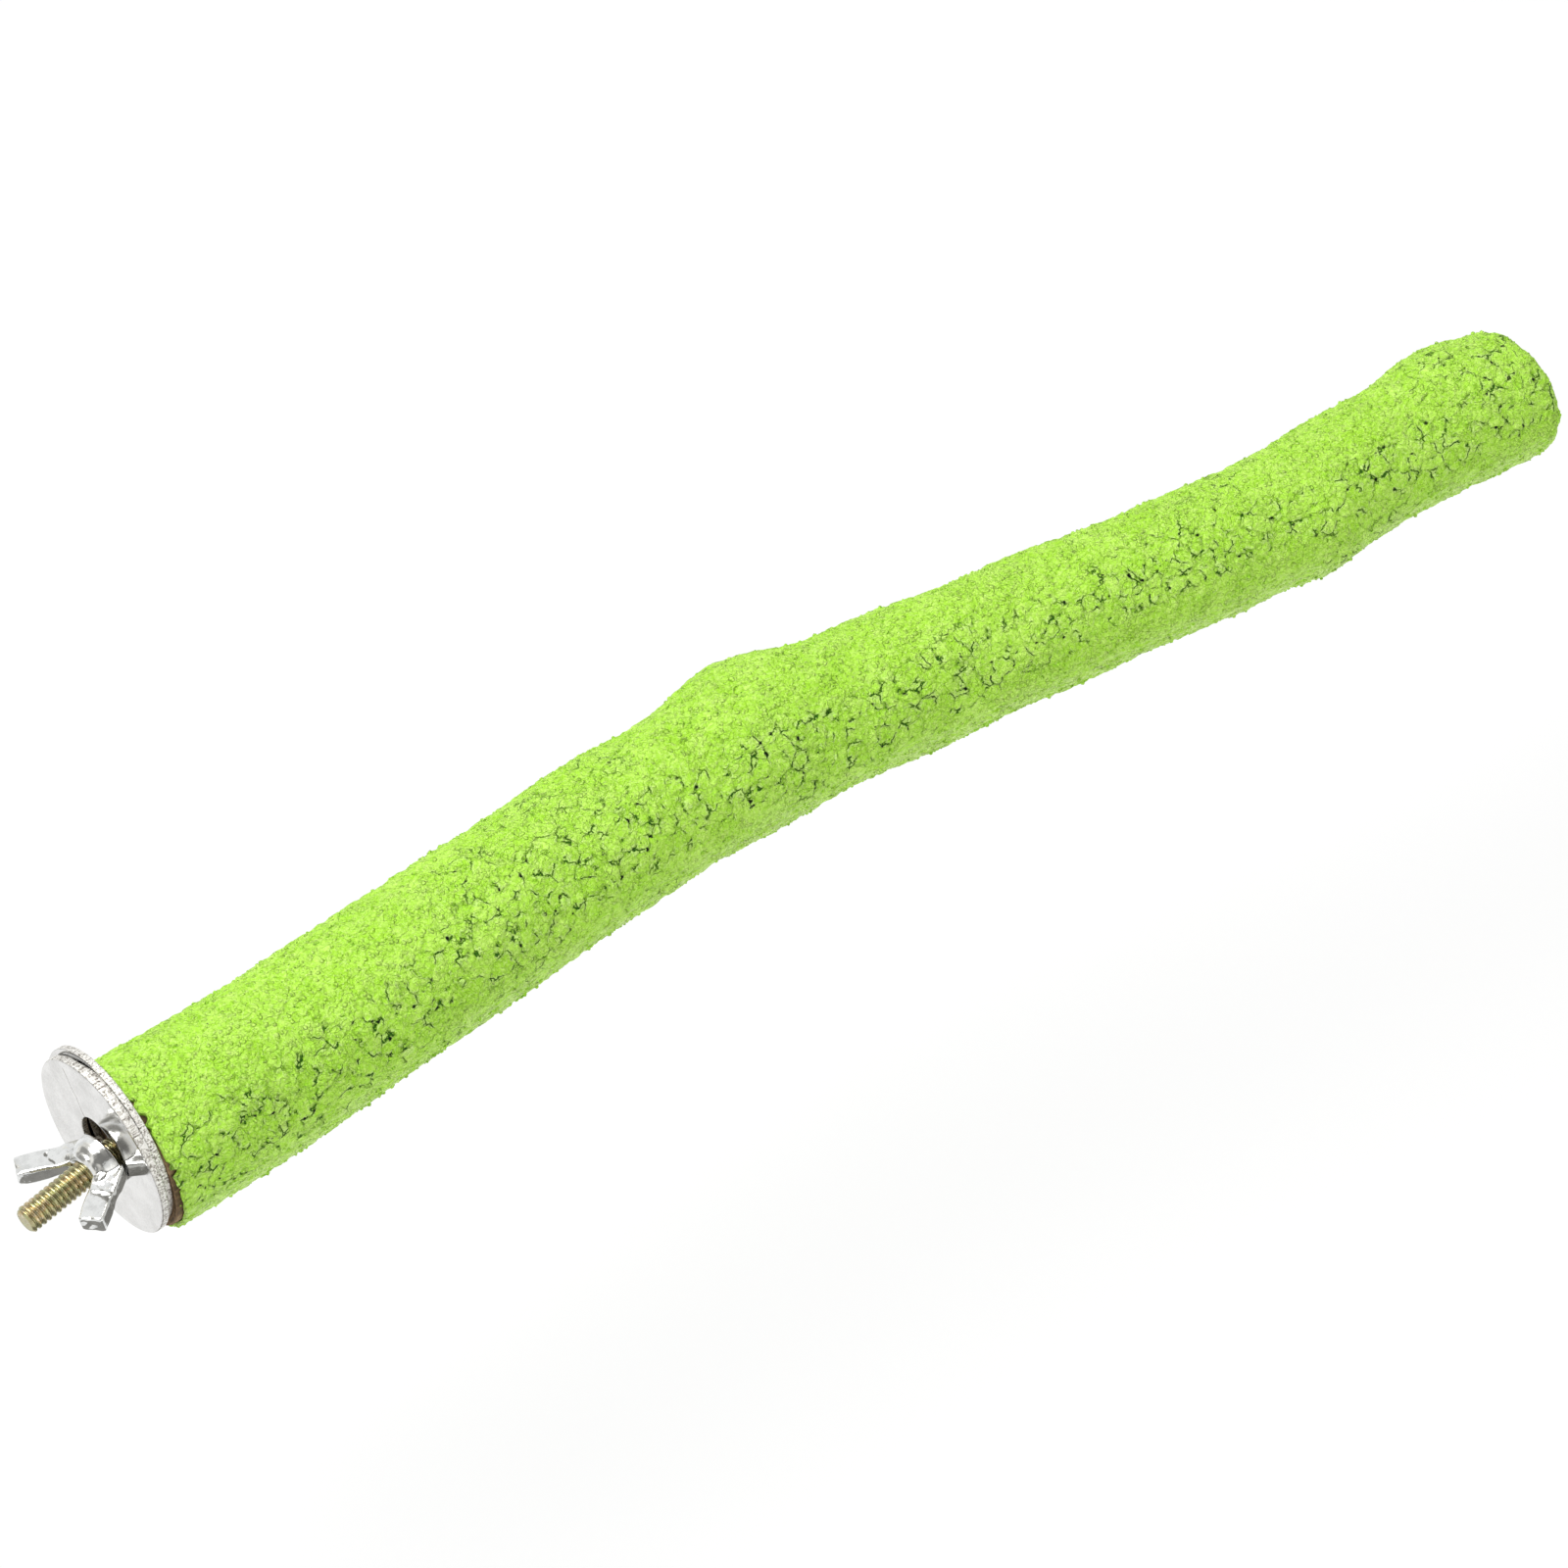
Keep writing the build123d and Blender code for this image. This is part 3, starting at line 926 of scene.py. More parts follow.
@dataclass(frozen=True)
class BranchForm:
    """The branch's bent and knotted form, in millimetres, from the sawn face at its clamped end."""

    length: float = 294.0
    diameter: float = 30.9
    sawn_face: float = 1.35
    rim_round: float = 4.0
    coat: float = 1.2
    bond_gap: float = 0.05
    bends: tuple[Span, ...] = (
        (0, -0.0048), (0.102, -0.0051), (0.221, 0.0003), (0.391, 0.0061),
        (0.510, -0.0034), (0.799, -0.0510), (0.901, -0.0551), (1.020, -0.0680),
    )
    girths: tuple[Span, ...] = (
        (0, 1), (0.170, 0.947), (0.374, 0.905), (0.510, 0.878),
        (0.680, 0.813), (0.850, 0.786), (1.020, 0.809),
    )
    knots: tuple[tuple[float, float, float, float], ...] = (
        (0.459, 0.061, 0.0855, 34), (0.823, 0.037, 0.0395, 214), (0.949, 0.051, 0.0592, 34),
    )
    lump_waves: tuple[tuple[int, int, float, float], ...] = (
        (10, 4, 0.0042, 40), (9, -4, 0.0038, 160), (6, 3, 0.0032, 250),
    )

    @staticmethod
    def curve(points: Sequence[Span], share: np.ndarray) -> np.ndarray:
        """Returns a smooth curve through (share, value) points."""
        places, values = np.array(points, float).T
        slopes = np.empty_like(values)
        slopes[1:-1] = (values[2:] - values[:-2]) / (places[2:] - places[:-2])
        slopes[0] = (values[1] - values[0]) / (places[1] - places[0])
        slopes[-1] = (values[-1] - values[-2]) / (places[-1] - places[-2])
        i = np.clip(np.searchsorted(places, share, side="right") - 1, 0, len(places) - 2)
        span = places[i + 1] - places[i]
        t = (share - places[i]) / span
        start = (1 + 2 * t) * (1 - t) ** 2 * values[i] + t * (1 - t) ** 2 * span * slopes[i]
        return start + t * t * (3 - 2 * t) * values[i + 1] - t * t * (1 - t) * span * slopes[i + 1]

    def middle_and_radius(self, along: np.ndarray) -> tuple[np.ndarray, np.ndarray]:
        """Returns the section's middle point and coated radius at distances along the branch."""
        share = along / self.length
        sideways = self.length * self.curve(self.bends, share)
        middle = np.stack([self.sawn_face + along, sideways, 0 * along], axis=-1)
        radius = self.diameter / 2 * self.curve(self.girths, share)
        for place, half_length, height, angle in self.knots:
            reach = np.clip((share - place) / half_length, -1, 1)
            swell = self.diameter * height * (1 + np.cos(math.pi * reach)) / 4
            middle = middle + swell[..., None] * np.array(direction(angle))
            radius = radius + swell
        return middle, radius

    def lumps(self, along: np.ndarray, angle: np.ndarray) -> np.ndarray:
        """Returns how far the coating's low lumps stand out or in at each place."""
        height = 0 * angle
        for waves_along, waves_round, share, phase in self.lump_waves:
            turn = FULL_TURN * waves_along * along / self.length + waves_round * angle + math.radians(phase)
            height = height + self.diameter * share * np.cos(turn)
        return height

    def points(
        self, along: np.ndarray, inset: np.ndarray, angle: np.ndarray, lumpy: np.ndarray
    ) -> np.ndarray:
        """Returns surface points.

        Args:
            along: Distances from the sawn face.
            inset: Depths below the coated surface.
            angle: Angles around X, in radians.
            lumpy: The share of the coating's lumps, from 0 on the wood to 1 on the coating.

        Returns:
            Points whose last side is 3.
        """
        middle, radius = self.middle_and_radius(along)
        return middle + (radius - inset + lumpy * self.lumps(along, angle))[..., None] * spokes(angle)


@dataclass
class GritCoating:
    """The crumbly coating: a skin over the branch and its far end, with a ragged edge near the washer."""

    form: BranchForm
    rule: CrumbRule = field(default_factory=CrumbRule)
    finish: GritFinish = field(default_factory=GritFinish)
    segments: int = 160
    row_step: float = 0.55
    cap_rows: int = 16
    rim_rows: int = 11
    inner_rows: int = 16
    bare_most: float = 1.15
    bare_slant: float = 6.2
    bare_angle: float = 222.0
    crack_angle: Span = (149.0, 130.0)
    crack_reach: Span = (42.0, 32.0)
    crack_wander: float = 11.0
    crack_waves: float = 2.3
    crack_phase: float = 0.6
    crack_core: float = 0.35
    back_share: float = 0.8
    back_crack_angle: float = 318.0
    under_start: Span = (165, 205)
    under_end: Span = (250, 285)
    frays: tuple[Triple, ...] = ((0.2, 5.0, 1.0), (0.22, 13.0, 2.0))
    edge_least: float = 0.2
    notches: tuple[Triple, ...] = (
        (99, 3.2, 1.1), (112, 4.5, 1.2), (120, 2.4, 0.6), (146, 4.0, 0.7), (152, 2.2, 1.5), (166, 2.0, 0.6),
        (262, 3.5, 0.8), (287, 4.5, 1.2), (315, 3.0, 0.7), (20, 3.5, 0.9), (48, 4.0, 1.0), (72, 2.5, 0.6),
    )

    def edge_place(self, angle: np.ndarray) -> np.ndarray:
        """Returns how far from the sawn face the ragged edge lies at each angle."""
        turn = angle - math.radians(self.bare_angle)
        slope = math.tan(math.radians(self.bare_slant)) * self.form.diameter / 2
        edge = np.maximum(self.bare_most - slope * (1 - np.cos(turn)), 0.0)
        for height, scale, seed in self.frays:
            edge = edge + height * rough(circle(1.0, 0.0, angle), scale, seed)
        for place, half_width, depth in self.notches:
            away = np.degrees(np.abs((angle - math.radians(place) + math.pi) % FULL_TURN - math.pi))
            edge += depth * (1 - smooth_step(0.3, 1.0, away / half_width))
        return np.maximum(edge, self.edge_least)

    def rows(self) -> tuple[np.ndarray, np.ndarray, np.ndarray, np.ndarray]:
        """Returns the skin's rows from the outer far pole to the inner one.

        Returns:
            Distances along, insets, angles and the share of relief, each rows by points round the row.
        """
        form = self.form
        end_radius = float(form.middle_and_radius(np.array([form.length]))[1][0])
        rim_start = form.length - form.rim_round
        insets = np.linspace(end_radius, form.rim_round, self.cap_rows + 1)[1:]
        plain = [(form.length, inset, 1.0) for inset in insets]
        for turn in np.linspace(math.pi / 2, 0, self.rim_rows + 1)[1:]:
            reach = rim_start + form.rim_round * math.sin(turn)
            plain.append((reach, form.rim_round * (1 - math.cos(turn)), 1.0))
        side = int(rim_start / self.row_step)
        inner = form.coat - form.bond_gap
        inner_round = form.rim_round - inner
        lip = [(0.35, 0.0, 1.0), (0.08, 0.2, 0.7), (0.0, 0.5, 0.4), (0.0, 0.85, 0.2), (0.12, inner, 0.0)]
        back = [(rim_start, inner, 0.0)]
        for turn in (math.pi / 6, math.pi / 3, math.pi / 2):
            reach = rim_start + inner_round * math.sin(turn)
            back.append((reach, inner + inner_round * (1 - math.cos(turn)), 0.0))
        back.append((form.length - inner, (form.rim_round + end_radius) / 2, 0.0))
        count = len(plain) + side + len(lip) + self.inner_rows - 1 + len(back)
        step = FULL_TURN / self.segments
        angle = step * (np.arange(self.segments)[None, :] + 0.5 * (np.arange(count)[:, None] % 2))
        edge = np.stack([self.edge_place(angle[0]), self.edge_place(angle[1])])[np.arange(count) % 2]
        along, inset, relief = np.zeros((3, count, self.segments))
        for i, (reach, depth, share) in enumerate(plain):
            along[i], inset[i], relief[i] = reach, depth, share
        first = len(plain)
        for i in range(side):
            row = first + i
            start = edge[row] + lip[0][0]
            along[row] = rim_start + (start - rim_start) * (i + 1) / (side + 1)
            relief[row] = 1.0
        first += side
        for i, (reach, depth, share) in enumerate(lip):
            along[first + i], inset[first + i], relief[first + i] = edge[first + i] + reach, depth, share
        first += len(lip)
        for i in range(self.inner_rows - 1):
            row = first + i
            start = edge[row] + lip[-1][0]
            along[row] = start + (rim_start - start) * (i + 1) / self.inner_rows
            inset[row] = inner
        first += self.inner_rows - 1
        for i, (reach, depth, share) in enumerate(back):
            along[first + i], inset[first + i], relief[first + i] = reach, depth, share
        return along, inset, angle, relief

    def open_side(self, along: np.ndarray, angle: np.ndarray) -> np.ndarray:
        """Returns how far the crumbs stand open, most in a band along the front and one along the back.

        Args:
            along: Distances from the sawn face.
            angle: Angles around X, in degrees from 0 to 360.

        Returns:
            Shares from 0 to 1.
        """
        share = along / self.form.length
        middle = self.crack_angle[0] + (self.crack_angle[1] - self.crack_angle[0]) * share
        wave = FULL_TURN * self.crack_waves * share + self.crack_phase
        middle = middle + self.crack_wander * np.sin(wave)
        reach = self.crack_reach[0] + (self.crack_reach[1] - self.crack_reach[0]) * share
        front = 1 - smooth_step(self.crack_core, 1.0, np.abs(angle - middle) / reach)
        back = 1 - smooth_step(self.crack_core, 1.0, np.abs(angle - self.back_crack_angle) / reach)
        return np.maximum(front, self.back_share * back)

    def crumble(self) -> GeometryRule:
        """Returns the tree that presses the crumbs into the smooth skin."""
        tree = GeometryRule("grit_crumbs")
        graph = tree.graph
        sockets: dict[str, Socket] = {}

        def size(name: str) -> Socket:
            """Returns the tree's input for one of the rule's sizes."""
            if name not in sockets:
                sockets[name] = tree.size(name.replace("_", " ").capitalize(), getattr(self.rule, name))
            return sockets[name]

        place = graph.node("GeometryNodeInputPosition").outputs[0]
        stored = graph.store(tree.geometry, "rest", place, "FLOAT_VECTOR")
        crumbs = self.rule.build(graph, place, graph.layer("open_side"), size)
        push = graph.product(crumbs.height, graph.layer("relief"), MM)
        normal = graph.node("GeometryNodeInputNormal").outputs[0]
        offset = graph.node("ShaderNodeVectorMath", {0: normal, "Scale": push}, operation="SCALE")
        moved = graph.node("GeometryNodeSetPosition", {"Geometry": stored, "Offset": offset.outputs[0]})
        tree.finish(moved.outputs[0], tree.material(self.finish.material(self.rule)))
        return tree

    def build(self) -> bpy.types.Object:
        """Returns the finished coating."""
        along, inset, angle, relief = self.rows()
        form = self.form
        ends, _ = form.middle_and_radius(np.array([form.length, form.length - form.coat + form.bond_gap]))
        end_radius = form.middle_and_radius(np.array([form.length]))[1]
        lumpy = relief * np.clip((end_radius - inset) / (end_radius - form.rim_round), 0, 1)
        poles = (Vector(ends[0]), Vector(ends[1]))
        skin = Loft(form.points(along, inset, angle, lumpy), poles, stagger=True)
        piece = skin.piece("crumb_coating")
        below = np.degrees(angle) % 360
        under = smooth_step(*self.under_start, below) * (1 - smooth_step(*self.under_end, below))
        set_number(piece.data, "open_side", np.append(self.open_side(along, below).ravel(), [0.0, 0.0]))
        set_number(piece.data, "under", np.append(under.ravel(), [0.0, 0.0]))
        set_number(piece.data, "relief", np.append(relief.ravel(), [1.0, 0.0]))
        self.crumble().run(piece)
        hand_in(piece, Body.PERCH, "grit_coating")
        return piece


@dataclass
class StudSizes:
    """The stud: a machine thread outside the branch and a wood thread inside it, in millimetres."""

    radius: float = 2.4
    reach: float = 19.4
    grip: float = 30.0
    tip_chamfer: float = 0.5
    point_length: float = 7.0
    point_radius: float = 0.4
    lean: float = 6.8
    lean_angle: float = 214.0
    pilot_gap: float = 0.05

    def outward(self) -> Vector:
        """Returns the stud's axis, out of the branch."""
        lean = math.radians(self.lean)
        return Vector((-math.cos(lean), 0, 0)) + direction(self.lean_angle) * math.sin(lean)


@dataclass
class WoodBranch:
    """The sawn branch: a side of thin bark, a sawn face and the drilled hole of the stud."""

    form: BranchForm
    stud: StudSizes
    finish: WoodFinish = field(default_factory=WoodFinish)
    segments: int = 160
    bark_depth: float = 7.0
    bark_rows: int = 36
    far_rows: int = 24
    face_rows: int = 16
    bore_rows: int = 8
    bore_start: float = 2.2
    bark_relief: float = 0.3
    bark_waves: Triple = (0.6, 1.6, 1.6)
    bark_seed: float = 7.0

    def side(self, angle: np.ndarray) -> list[np.ndarray]:
        """Returns the rows of the outer side, from the far end to the sawn face."""
        form = self.form
        end = form.length - form.coat
        end_radius = float(form.middle_and_radius(np.array([end]))[1][0])
        start = form.length - form.rim_round
        inner_round = form.rim_round - form.coat
        rows = [(end, (end_radius + form.rim_round) / 2)]
        for turn in (math.pi / 2, math.pi / 3, math.pi / 6, 0.0):
            depth = form.coat + inner_round * (1 - math.cos(turn))
            rows.append((start + inner_round * math.sin(turn), depth))
        rows += [(along, form.coat) for along in np.linspace(start, self.bark_depth, self.far_rows)[1:]]
        rows += [(along, form.coat) for along in np.linspace(self.bark_depth, 0.0, self.bark_rows)[1:]]
        ones = np.ones_like(angle)
        return [form.points(along * ones, inset * ones, angle, 0 * ones) for along, inset in rows]

    def build(self) -> bpy.types.Object:
        """Returns the finished branch."""
        angle = round_angles(self.segments)
        rows = self.side(angle)
        outward = self.stud.outward()
        seat = Seat(ORIGIN, outward)
        radius = self.stud.radius + self.stud.pilot_gap
        bottom = self.form.sawn_face + self.stud.grip
        hole = np.array(outward) * (self.form.sawn_face / outward.x) + radius * spokes(angle)
        hole[:, 0] = self.form.sawn_face
        rows += [rows[-1] + (hole - rows[-1]) * share for share in np.linspace(0, 1, self.face_rows + 1)[1:]]
        side, up, _ = seat.axes()
        mouth = hole - np.array(outward) * (hole @ np.array(outward))[:, None]
        turns = np.arctan2(mouth @ up, mouth @ side)
        depths = np.linspace(self.bore_start, bottom - self.stud.point_length, self.bore_rows)
        bores = [(radius, depth) for depth in depths]
        bores.append((self.stud.point_radius + self.stud.pilot_gap, bottom))
        rows += [seat.place(circle(bore, -depth, turns)) for bore, depth in bores]
        far = self.form.middle_and_radius(np.array([self.form.length - self.form.coat]))[0][0]
        poles = (Vector(far), Vector(np.array(outward) * -bottom))
        piece = Loft(np.stack(rows), poles).piece("bare_branch")
        self.roughen(piece.data)
        piece.data.materials.append(self.finish.material())
        hand_in(piece, Body.PERCH, "wood_branch")
        return piece

    def roughen(self, mesh: bpy.types.Mesh) -> None:
        """Frays the bark near the sawn face, inwards only."""
        points = mesh_points(mesh) / MM
        off_axis = np.hypot(points[:, 1], points[:, 2])
        chosen = np.flatnonzero((points[:, 0] < self.bark_depth) & (off_axis > self.form.diameter / 3))
        grain = rough(points[chosen] * np.array(self.bark_waves), 1.0, self.bark_seed)
        middle, _ = self.form.middle_and_radius(points[chosen, 0] - self.form.sawn_face)
        spoke = points[chosen] - middle
        spoke[:, 0] = 0
        spoke /= np.linalg.norm(spoke, axis=1)[:, None]
        points[chosen] -= spoke * (self.bark_relief * (0.5 + 0.5 * grain))[:, None]
        set_points(mesh, points * MM)


@dataclass
class HangerBolt:
    """The stud with its threads cut, set leaning in the branch."""

    sizes: StudSizes
    sawn_face: float
    finish: YellowZincFinish = field(default_factory=YellowZincFinish)
    machine_pitch: float = 1.058
    machine_depth: float = 0.34
    wood_pitch: float = 2.1
    wood_depth: float = 0.8
    segments: int = 72
    machine_row: float = 0.088
    wood_row: float = 0.21
    tip_shares: Triple = (0.8, 0.5, 0.25)
    flank_span: Span = (0.25, 0.92)
    least_radius: float = 1e-6

    def blank(self) -> bpy.types.Object:
        """Returns the plain stud about the Z axis, tip up."""
        sizes = self.sizes
        bottom = -self.sawn_face - sizes.grip
        heights = np.concatenate([
            np.arange(bottom, -self.sawn_face, self.wood_row),
            np.arange(-self.sawn_face, sizes.reach, self.machine_row),
            [sizes.reach],
        ])
        stations = [bottom, bottom + sizes.point_length, sizes.reach - sizes.tip_chamfer, sizes.reach]
        radii = [sizes.point_radius, sizes.radius, sizes.radius, sizes.radius - sizes.tip_chamfer]
        outline = [(np.interp(z, stations, radii), z) for z in heights]
        outline += [(share * radii[-1], sizes.reach) for share in self.tip_shares]
        angle = round_angles(self.segments)
        rows = [circle(r, z, angle) for r, z in outline]
        poles = (Vector((0, 0, bottom)), Vector((0, 0, sizes.reach)))
        return Loft(np.stack(rows), poles).piece("threaded_stud")

    def thread(
        self, graph: Graph, turn: Socket, height: Socket, pitch: Socket, depth: Socket, radius: Socket
    ) -> Socket:
        """Returns the radius of a right-hand thread.

        Args:
            graph: The tree to add to.
            turn: The place round the stud, in turns.
            height: The place along the stud.
            pitch: The thread's pitch.
            depth: The thread's depth.
            radius: The radius over the crests.

        Returns:
            The thread's radius at that place.
        """
        phase = graph.math("FRACT", graph.math("SUBTRACT", graph.math("DIVIDE", height, pitch), turn))
        flank = graph.math("ABSOLUTE", graph.math("MULTIPLY_ADD", phase, 2.0, -1.0))
        cut = graph.math("MULTIPLY", graph.smooth(*self.flank_span, flank), depth)
        return graph.math("SUBTRACT", radius, cut)

    def cut_threads(self) -> GeometryRule:
        """Returns the tree that cuts both threads into the plain stud."""
        tree = GeometryRule("stud_threads")
        graph = tree.graph
        radius = tree.size("Stud radius", self.sizes.radius * MM)
        split = tree.size("Wood thread end", -self.sawn_face * MM)
        x, y, height = graph.parts(graph.node("GeometryNodeInputPosition").outputs[0])
        turn = graph.math("DIVIDE", graph.math("ARCTAN2", y, x), FULL_TURN)
        machine_pitch = tree.size("Machine pitch", self.machine_pitch * MM)
        machine_depth = tree.size("Machine thread depth", self.machine_depth * MM)
        wood_pitch = tree.size("Wood pitch", self.wood_pitch * MM)
        wood_depth = tree.size("Wood thread depth", self.wood_depth * MM)
        machine = self.thread(graph, turn, height, machine_pitch, machine_depth, radius)
        wood = self.thread(graph, turn, height, wood_pitch, wood_depth, radius)
        outside = graph.math("GREATER_THAN", height, split)
        wanted = graph.math("ADD", wood, graph.product(outside, graph.math("SUBTRACT", machine, wood)))
        blank = graph.math("MAXIMUM", graph.radius(x, y), self.least_radius)
        share = graph.math("DIVIDE", graph.math("MINIMUM", wanted, blank), blank)
        inputs = {0: graph.product(x, share), 1: graph.product(y, share), 2: height}
        place = graph.node("ShaderNodeCombineXYZ", inputs).outputs[0]
        cut = graph.math("SUBTRACT", blank, graph.product(blank, share))
        # The depth of each cut is stored for the painted shade in the thread grooves.
        stored = graph.store(tree.geometry, "groove", graph.math("DIVIDE", cut, machine_depth), "FLOAT")
        moved = graph.node("GeometryNodeSetPosition", {"Geometry": stored, "Position": place})
        tree.finish(moved.outputs[0], tree.material(self.finish.material()))
        return tree

    def build(self) -> bpy.types.Object:
        """Returns the finished stud."""
        piece = self.blank()
        self.cut_threads().run(piece)
        seat = Seat(ORIGIN, self.sizes.outward())
        set_points(piece.data, seat.place(mesh_points(piece.data)))
        hand_in(piece, Body.PERCH, "hanger_bolt")
        return piece


@dataclass(frozen=True)
class ClampFit:
    """How the washers and the nut lie on the stud at rest, in millimetres."""

    washer_radius: float = 16.5
    washer_thickness: float = 1.25
    seat_gap: float = 0.1
    shift_angle: float = 34.0
    rear_shift: float = 2.4
    front_shift: float = 1.6
    tilt: float = 1.2
    nut_height: float = 2.27
    nut_turn: float = 12.5
    burr_clearance: float = 0.015
    burr_start: Span = (68, 86)
    burr_end: Span = (330, 350)
    burr_least: float = 0.3

    def rear(self) -> Seat:
        """Returns the seat of the washer against the sawn face."""
        shift = direction(self.shift_angle) * self.rear_shift
        return Seat(Vector((self.washer_thickness, 0, 0)) + shift, Vector((-1, 0, 0)))

    def front(self) -> Seat:
        """Returns the seat of the washer under the nut, which leans open on one side."""
        tilt = math.radians(self.tilt)
        shift = direction(self.shift_angle)
        back = self.seat_gap + self.washer_radius * math.sin(tilt)
        middle = Vector((-back, 0, 0)) + shift * self.front_shift
        return Seat(middle, Vector((-math.cos(tilt), 0, 0)) - shift * math.sin(tilt))

    def nut(self, outward: Vector) -> Seat:
        """Returns the nut's seat on the stud's axis."""
        return Seat(outward * self.nut_height, outward, self.nut_turn)

    def burr(self, angle: np.ndarray) -> np.ndarray:
        """Returns how far the front washer's sheared edge hangs back towards the rear washer.

        Args:
            angle: Angles round the front washer in its own plane, in radians.

        Returns:
            The burr's height at each angle.
        """
        around_x = np.degrees(-angle) % 360
        lean = self.washer_radius * math.sin(math.radians(self.tilt))
        gap = self.seat_gap + lean * (1 + np.cos(np.radians(around_x - self.shift_angle)))
        shut = smooth_step(*self.burr_start, around_x) * (1 - smooth_step(*self.burr_end, around_x))
        return (self.burr_least + (1 - self.burr_least) * shut) * (gap - self.burr_clearance)


@dataclass
class Washer:
    """A stamped washer: eased edges on its outward side, a faint wave and a sheared rim."""

    name: str
    node: str
    body: Body
    seat: Seat
    material: bpy.types.Material
    seed: float
    radius: float = 16.5
    hole: float = 5.5
    thickness: float = 1.25
    edge_round: float = 0.25
    wave: float = 0.03
    wave_scale: float = 0.16
    burr_width: float = 0.25
    burr_foot: float = 0.2
    closing_step: float = 0.1
    segments: int = 256
    face_rows: int = 26
    burr: Optional[Callable[[np.ndarray], np.ndarray]] = None

    def profile(self) -> list[Triple]:
        """Returns the section as (radius, height, rim share) points, round from the hole's foot."""
        ease = self.edge_round
        top = self.thickness
        turns = np.linspace(0, math.pi / 2, 5)
        outline = [(self.hole, height, 1.0) for height in (0.08, 0.5)]
        for turn in turns:
            height = top - ease + ease * math.sin(turn)
            outline.append((self.hole + ease * (1 - math.cos(turn)), height, 1 - math.sin(turn)))
        inner, outer = self.hole + ease, self.radius - ease
        outline += [(r, top, 0.0) for r in np.linspace(inner, outer, self.face_rows + 1)[1:]]
        for turn in turns[1:]:
            height = top - ease + ease * math.cos(turn)
            outline.append((outer + ease * math.sin(turn), height, math.sin(turn)))
        outline += [(self.radius, height, 1.0) for height in (0.75, 0.5, 0.25)]
        outline += [(self.radius, 0.1, 1.0), (self.radius - 0.06, 0.0, 1.0), (self.radius - 0.2, 0.0, 0.8)]
        outline += [(r, 0.0, 0.0) for r in np.linspace(self.radius - 0.3, self.hole + 0.3, 8)]
        outline += [(self.hole + 0.08, 0.0, 0.5)]
        return outline

    def build(self) -> bpy.types.Object:
        """Returns the finished washer."""
        outline = self.profile()
        angle = round_angles(self.segments)
        rows = np.stack([circle(r, z, angle) for r, z, _ in outline])
        flat = rows.reshape(-1, 3)
        faces_out = flat[:, 2] > self.thickness / 2
        waves = rough(flat[faces_out] * [1, 1, 0], self.wave_scale, self.seed)
        flat[faces_out, 2] -= self.wave * (0.5 + 0.5 * waves)
        if self.burr is not None:
            edge = np.hypot(flat[:, 0], flat[:, 1]) > self.radius - self.burr_width
            edge &= flat[:, 2] < self.burr_foot
            flat[edge, 2] -= self.burr(np.arctan2(flat[edge, 1], flat[edge, 0]))
        piece = Loft(self.seat.place(flat).reshape(rows.shape)).piece(self.name)
        set_number(piece.data, "rim", np.repeat([rim for _, _, rim in outline], self.segments))
        self.wrap(piece.data, outline)
        piece.data.materials.append(self.material)
        hand_in(piece, self.body, self.node)
        return piece

    def wrap(self, mesh: bpy.types.Mesh, outline: list[Triple]) -> None:
        """Lays a map over the washer, in millimetres round the rim and along the section."""
        section = np.array([(r, z) for r, z, _ in outline])
        steps = np.linalg.norm(np.diff(section, axis=0), axis=1)
        lengths = np.concatenate([[0], np.cumsum(steps)])
        rim = FULL_TURN * self.radius
        layer = mesh.uv_layers.new(name="wrap")
        corners = np.empty(len(mesh.loops), np.int32)
        mesh.loops.foreach_get("vertex_index", corners)
        row, step = corners // self.segments, corners % self.segments
        u = (step * rim / self.segments).reshape(-1, 4)
        v = lengths[row].reshape(-1, 4)
        u = np.where((u.max(1) - u.min(1) > rim / 2)[:, None] & (u < rim / 2), u + rim, u)
        total = lengths[-1] + self.closing_step
        v = np.where((v.max(1) - v.min(1) > total / 2)[:, None] & (v < total / 2), v + total, v)
        layer.data.foreach_set("uv", np.stack([u, v], axis=-1).ravel())


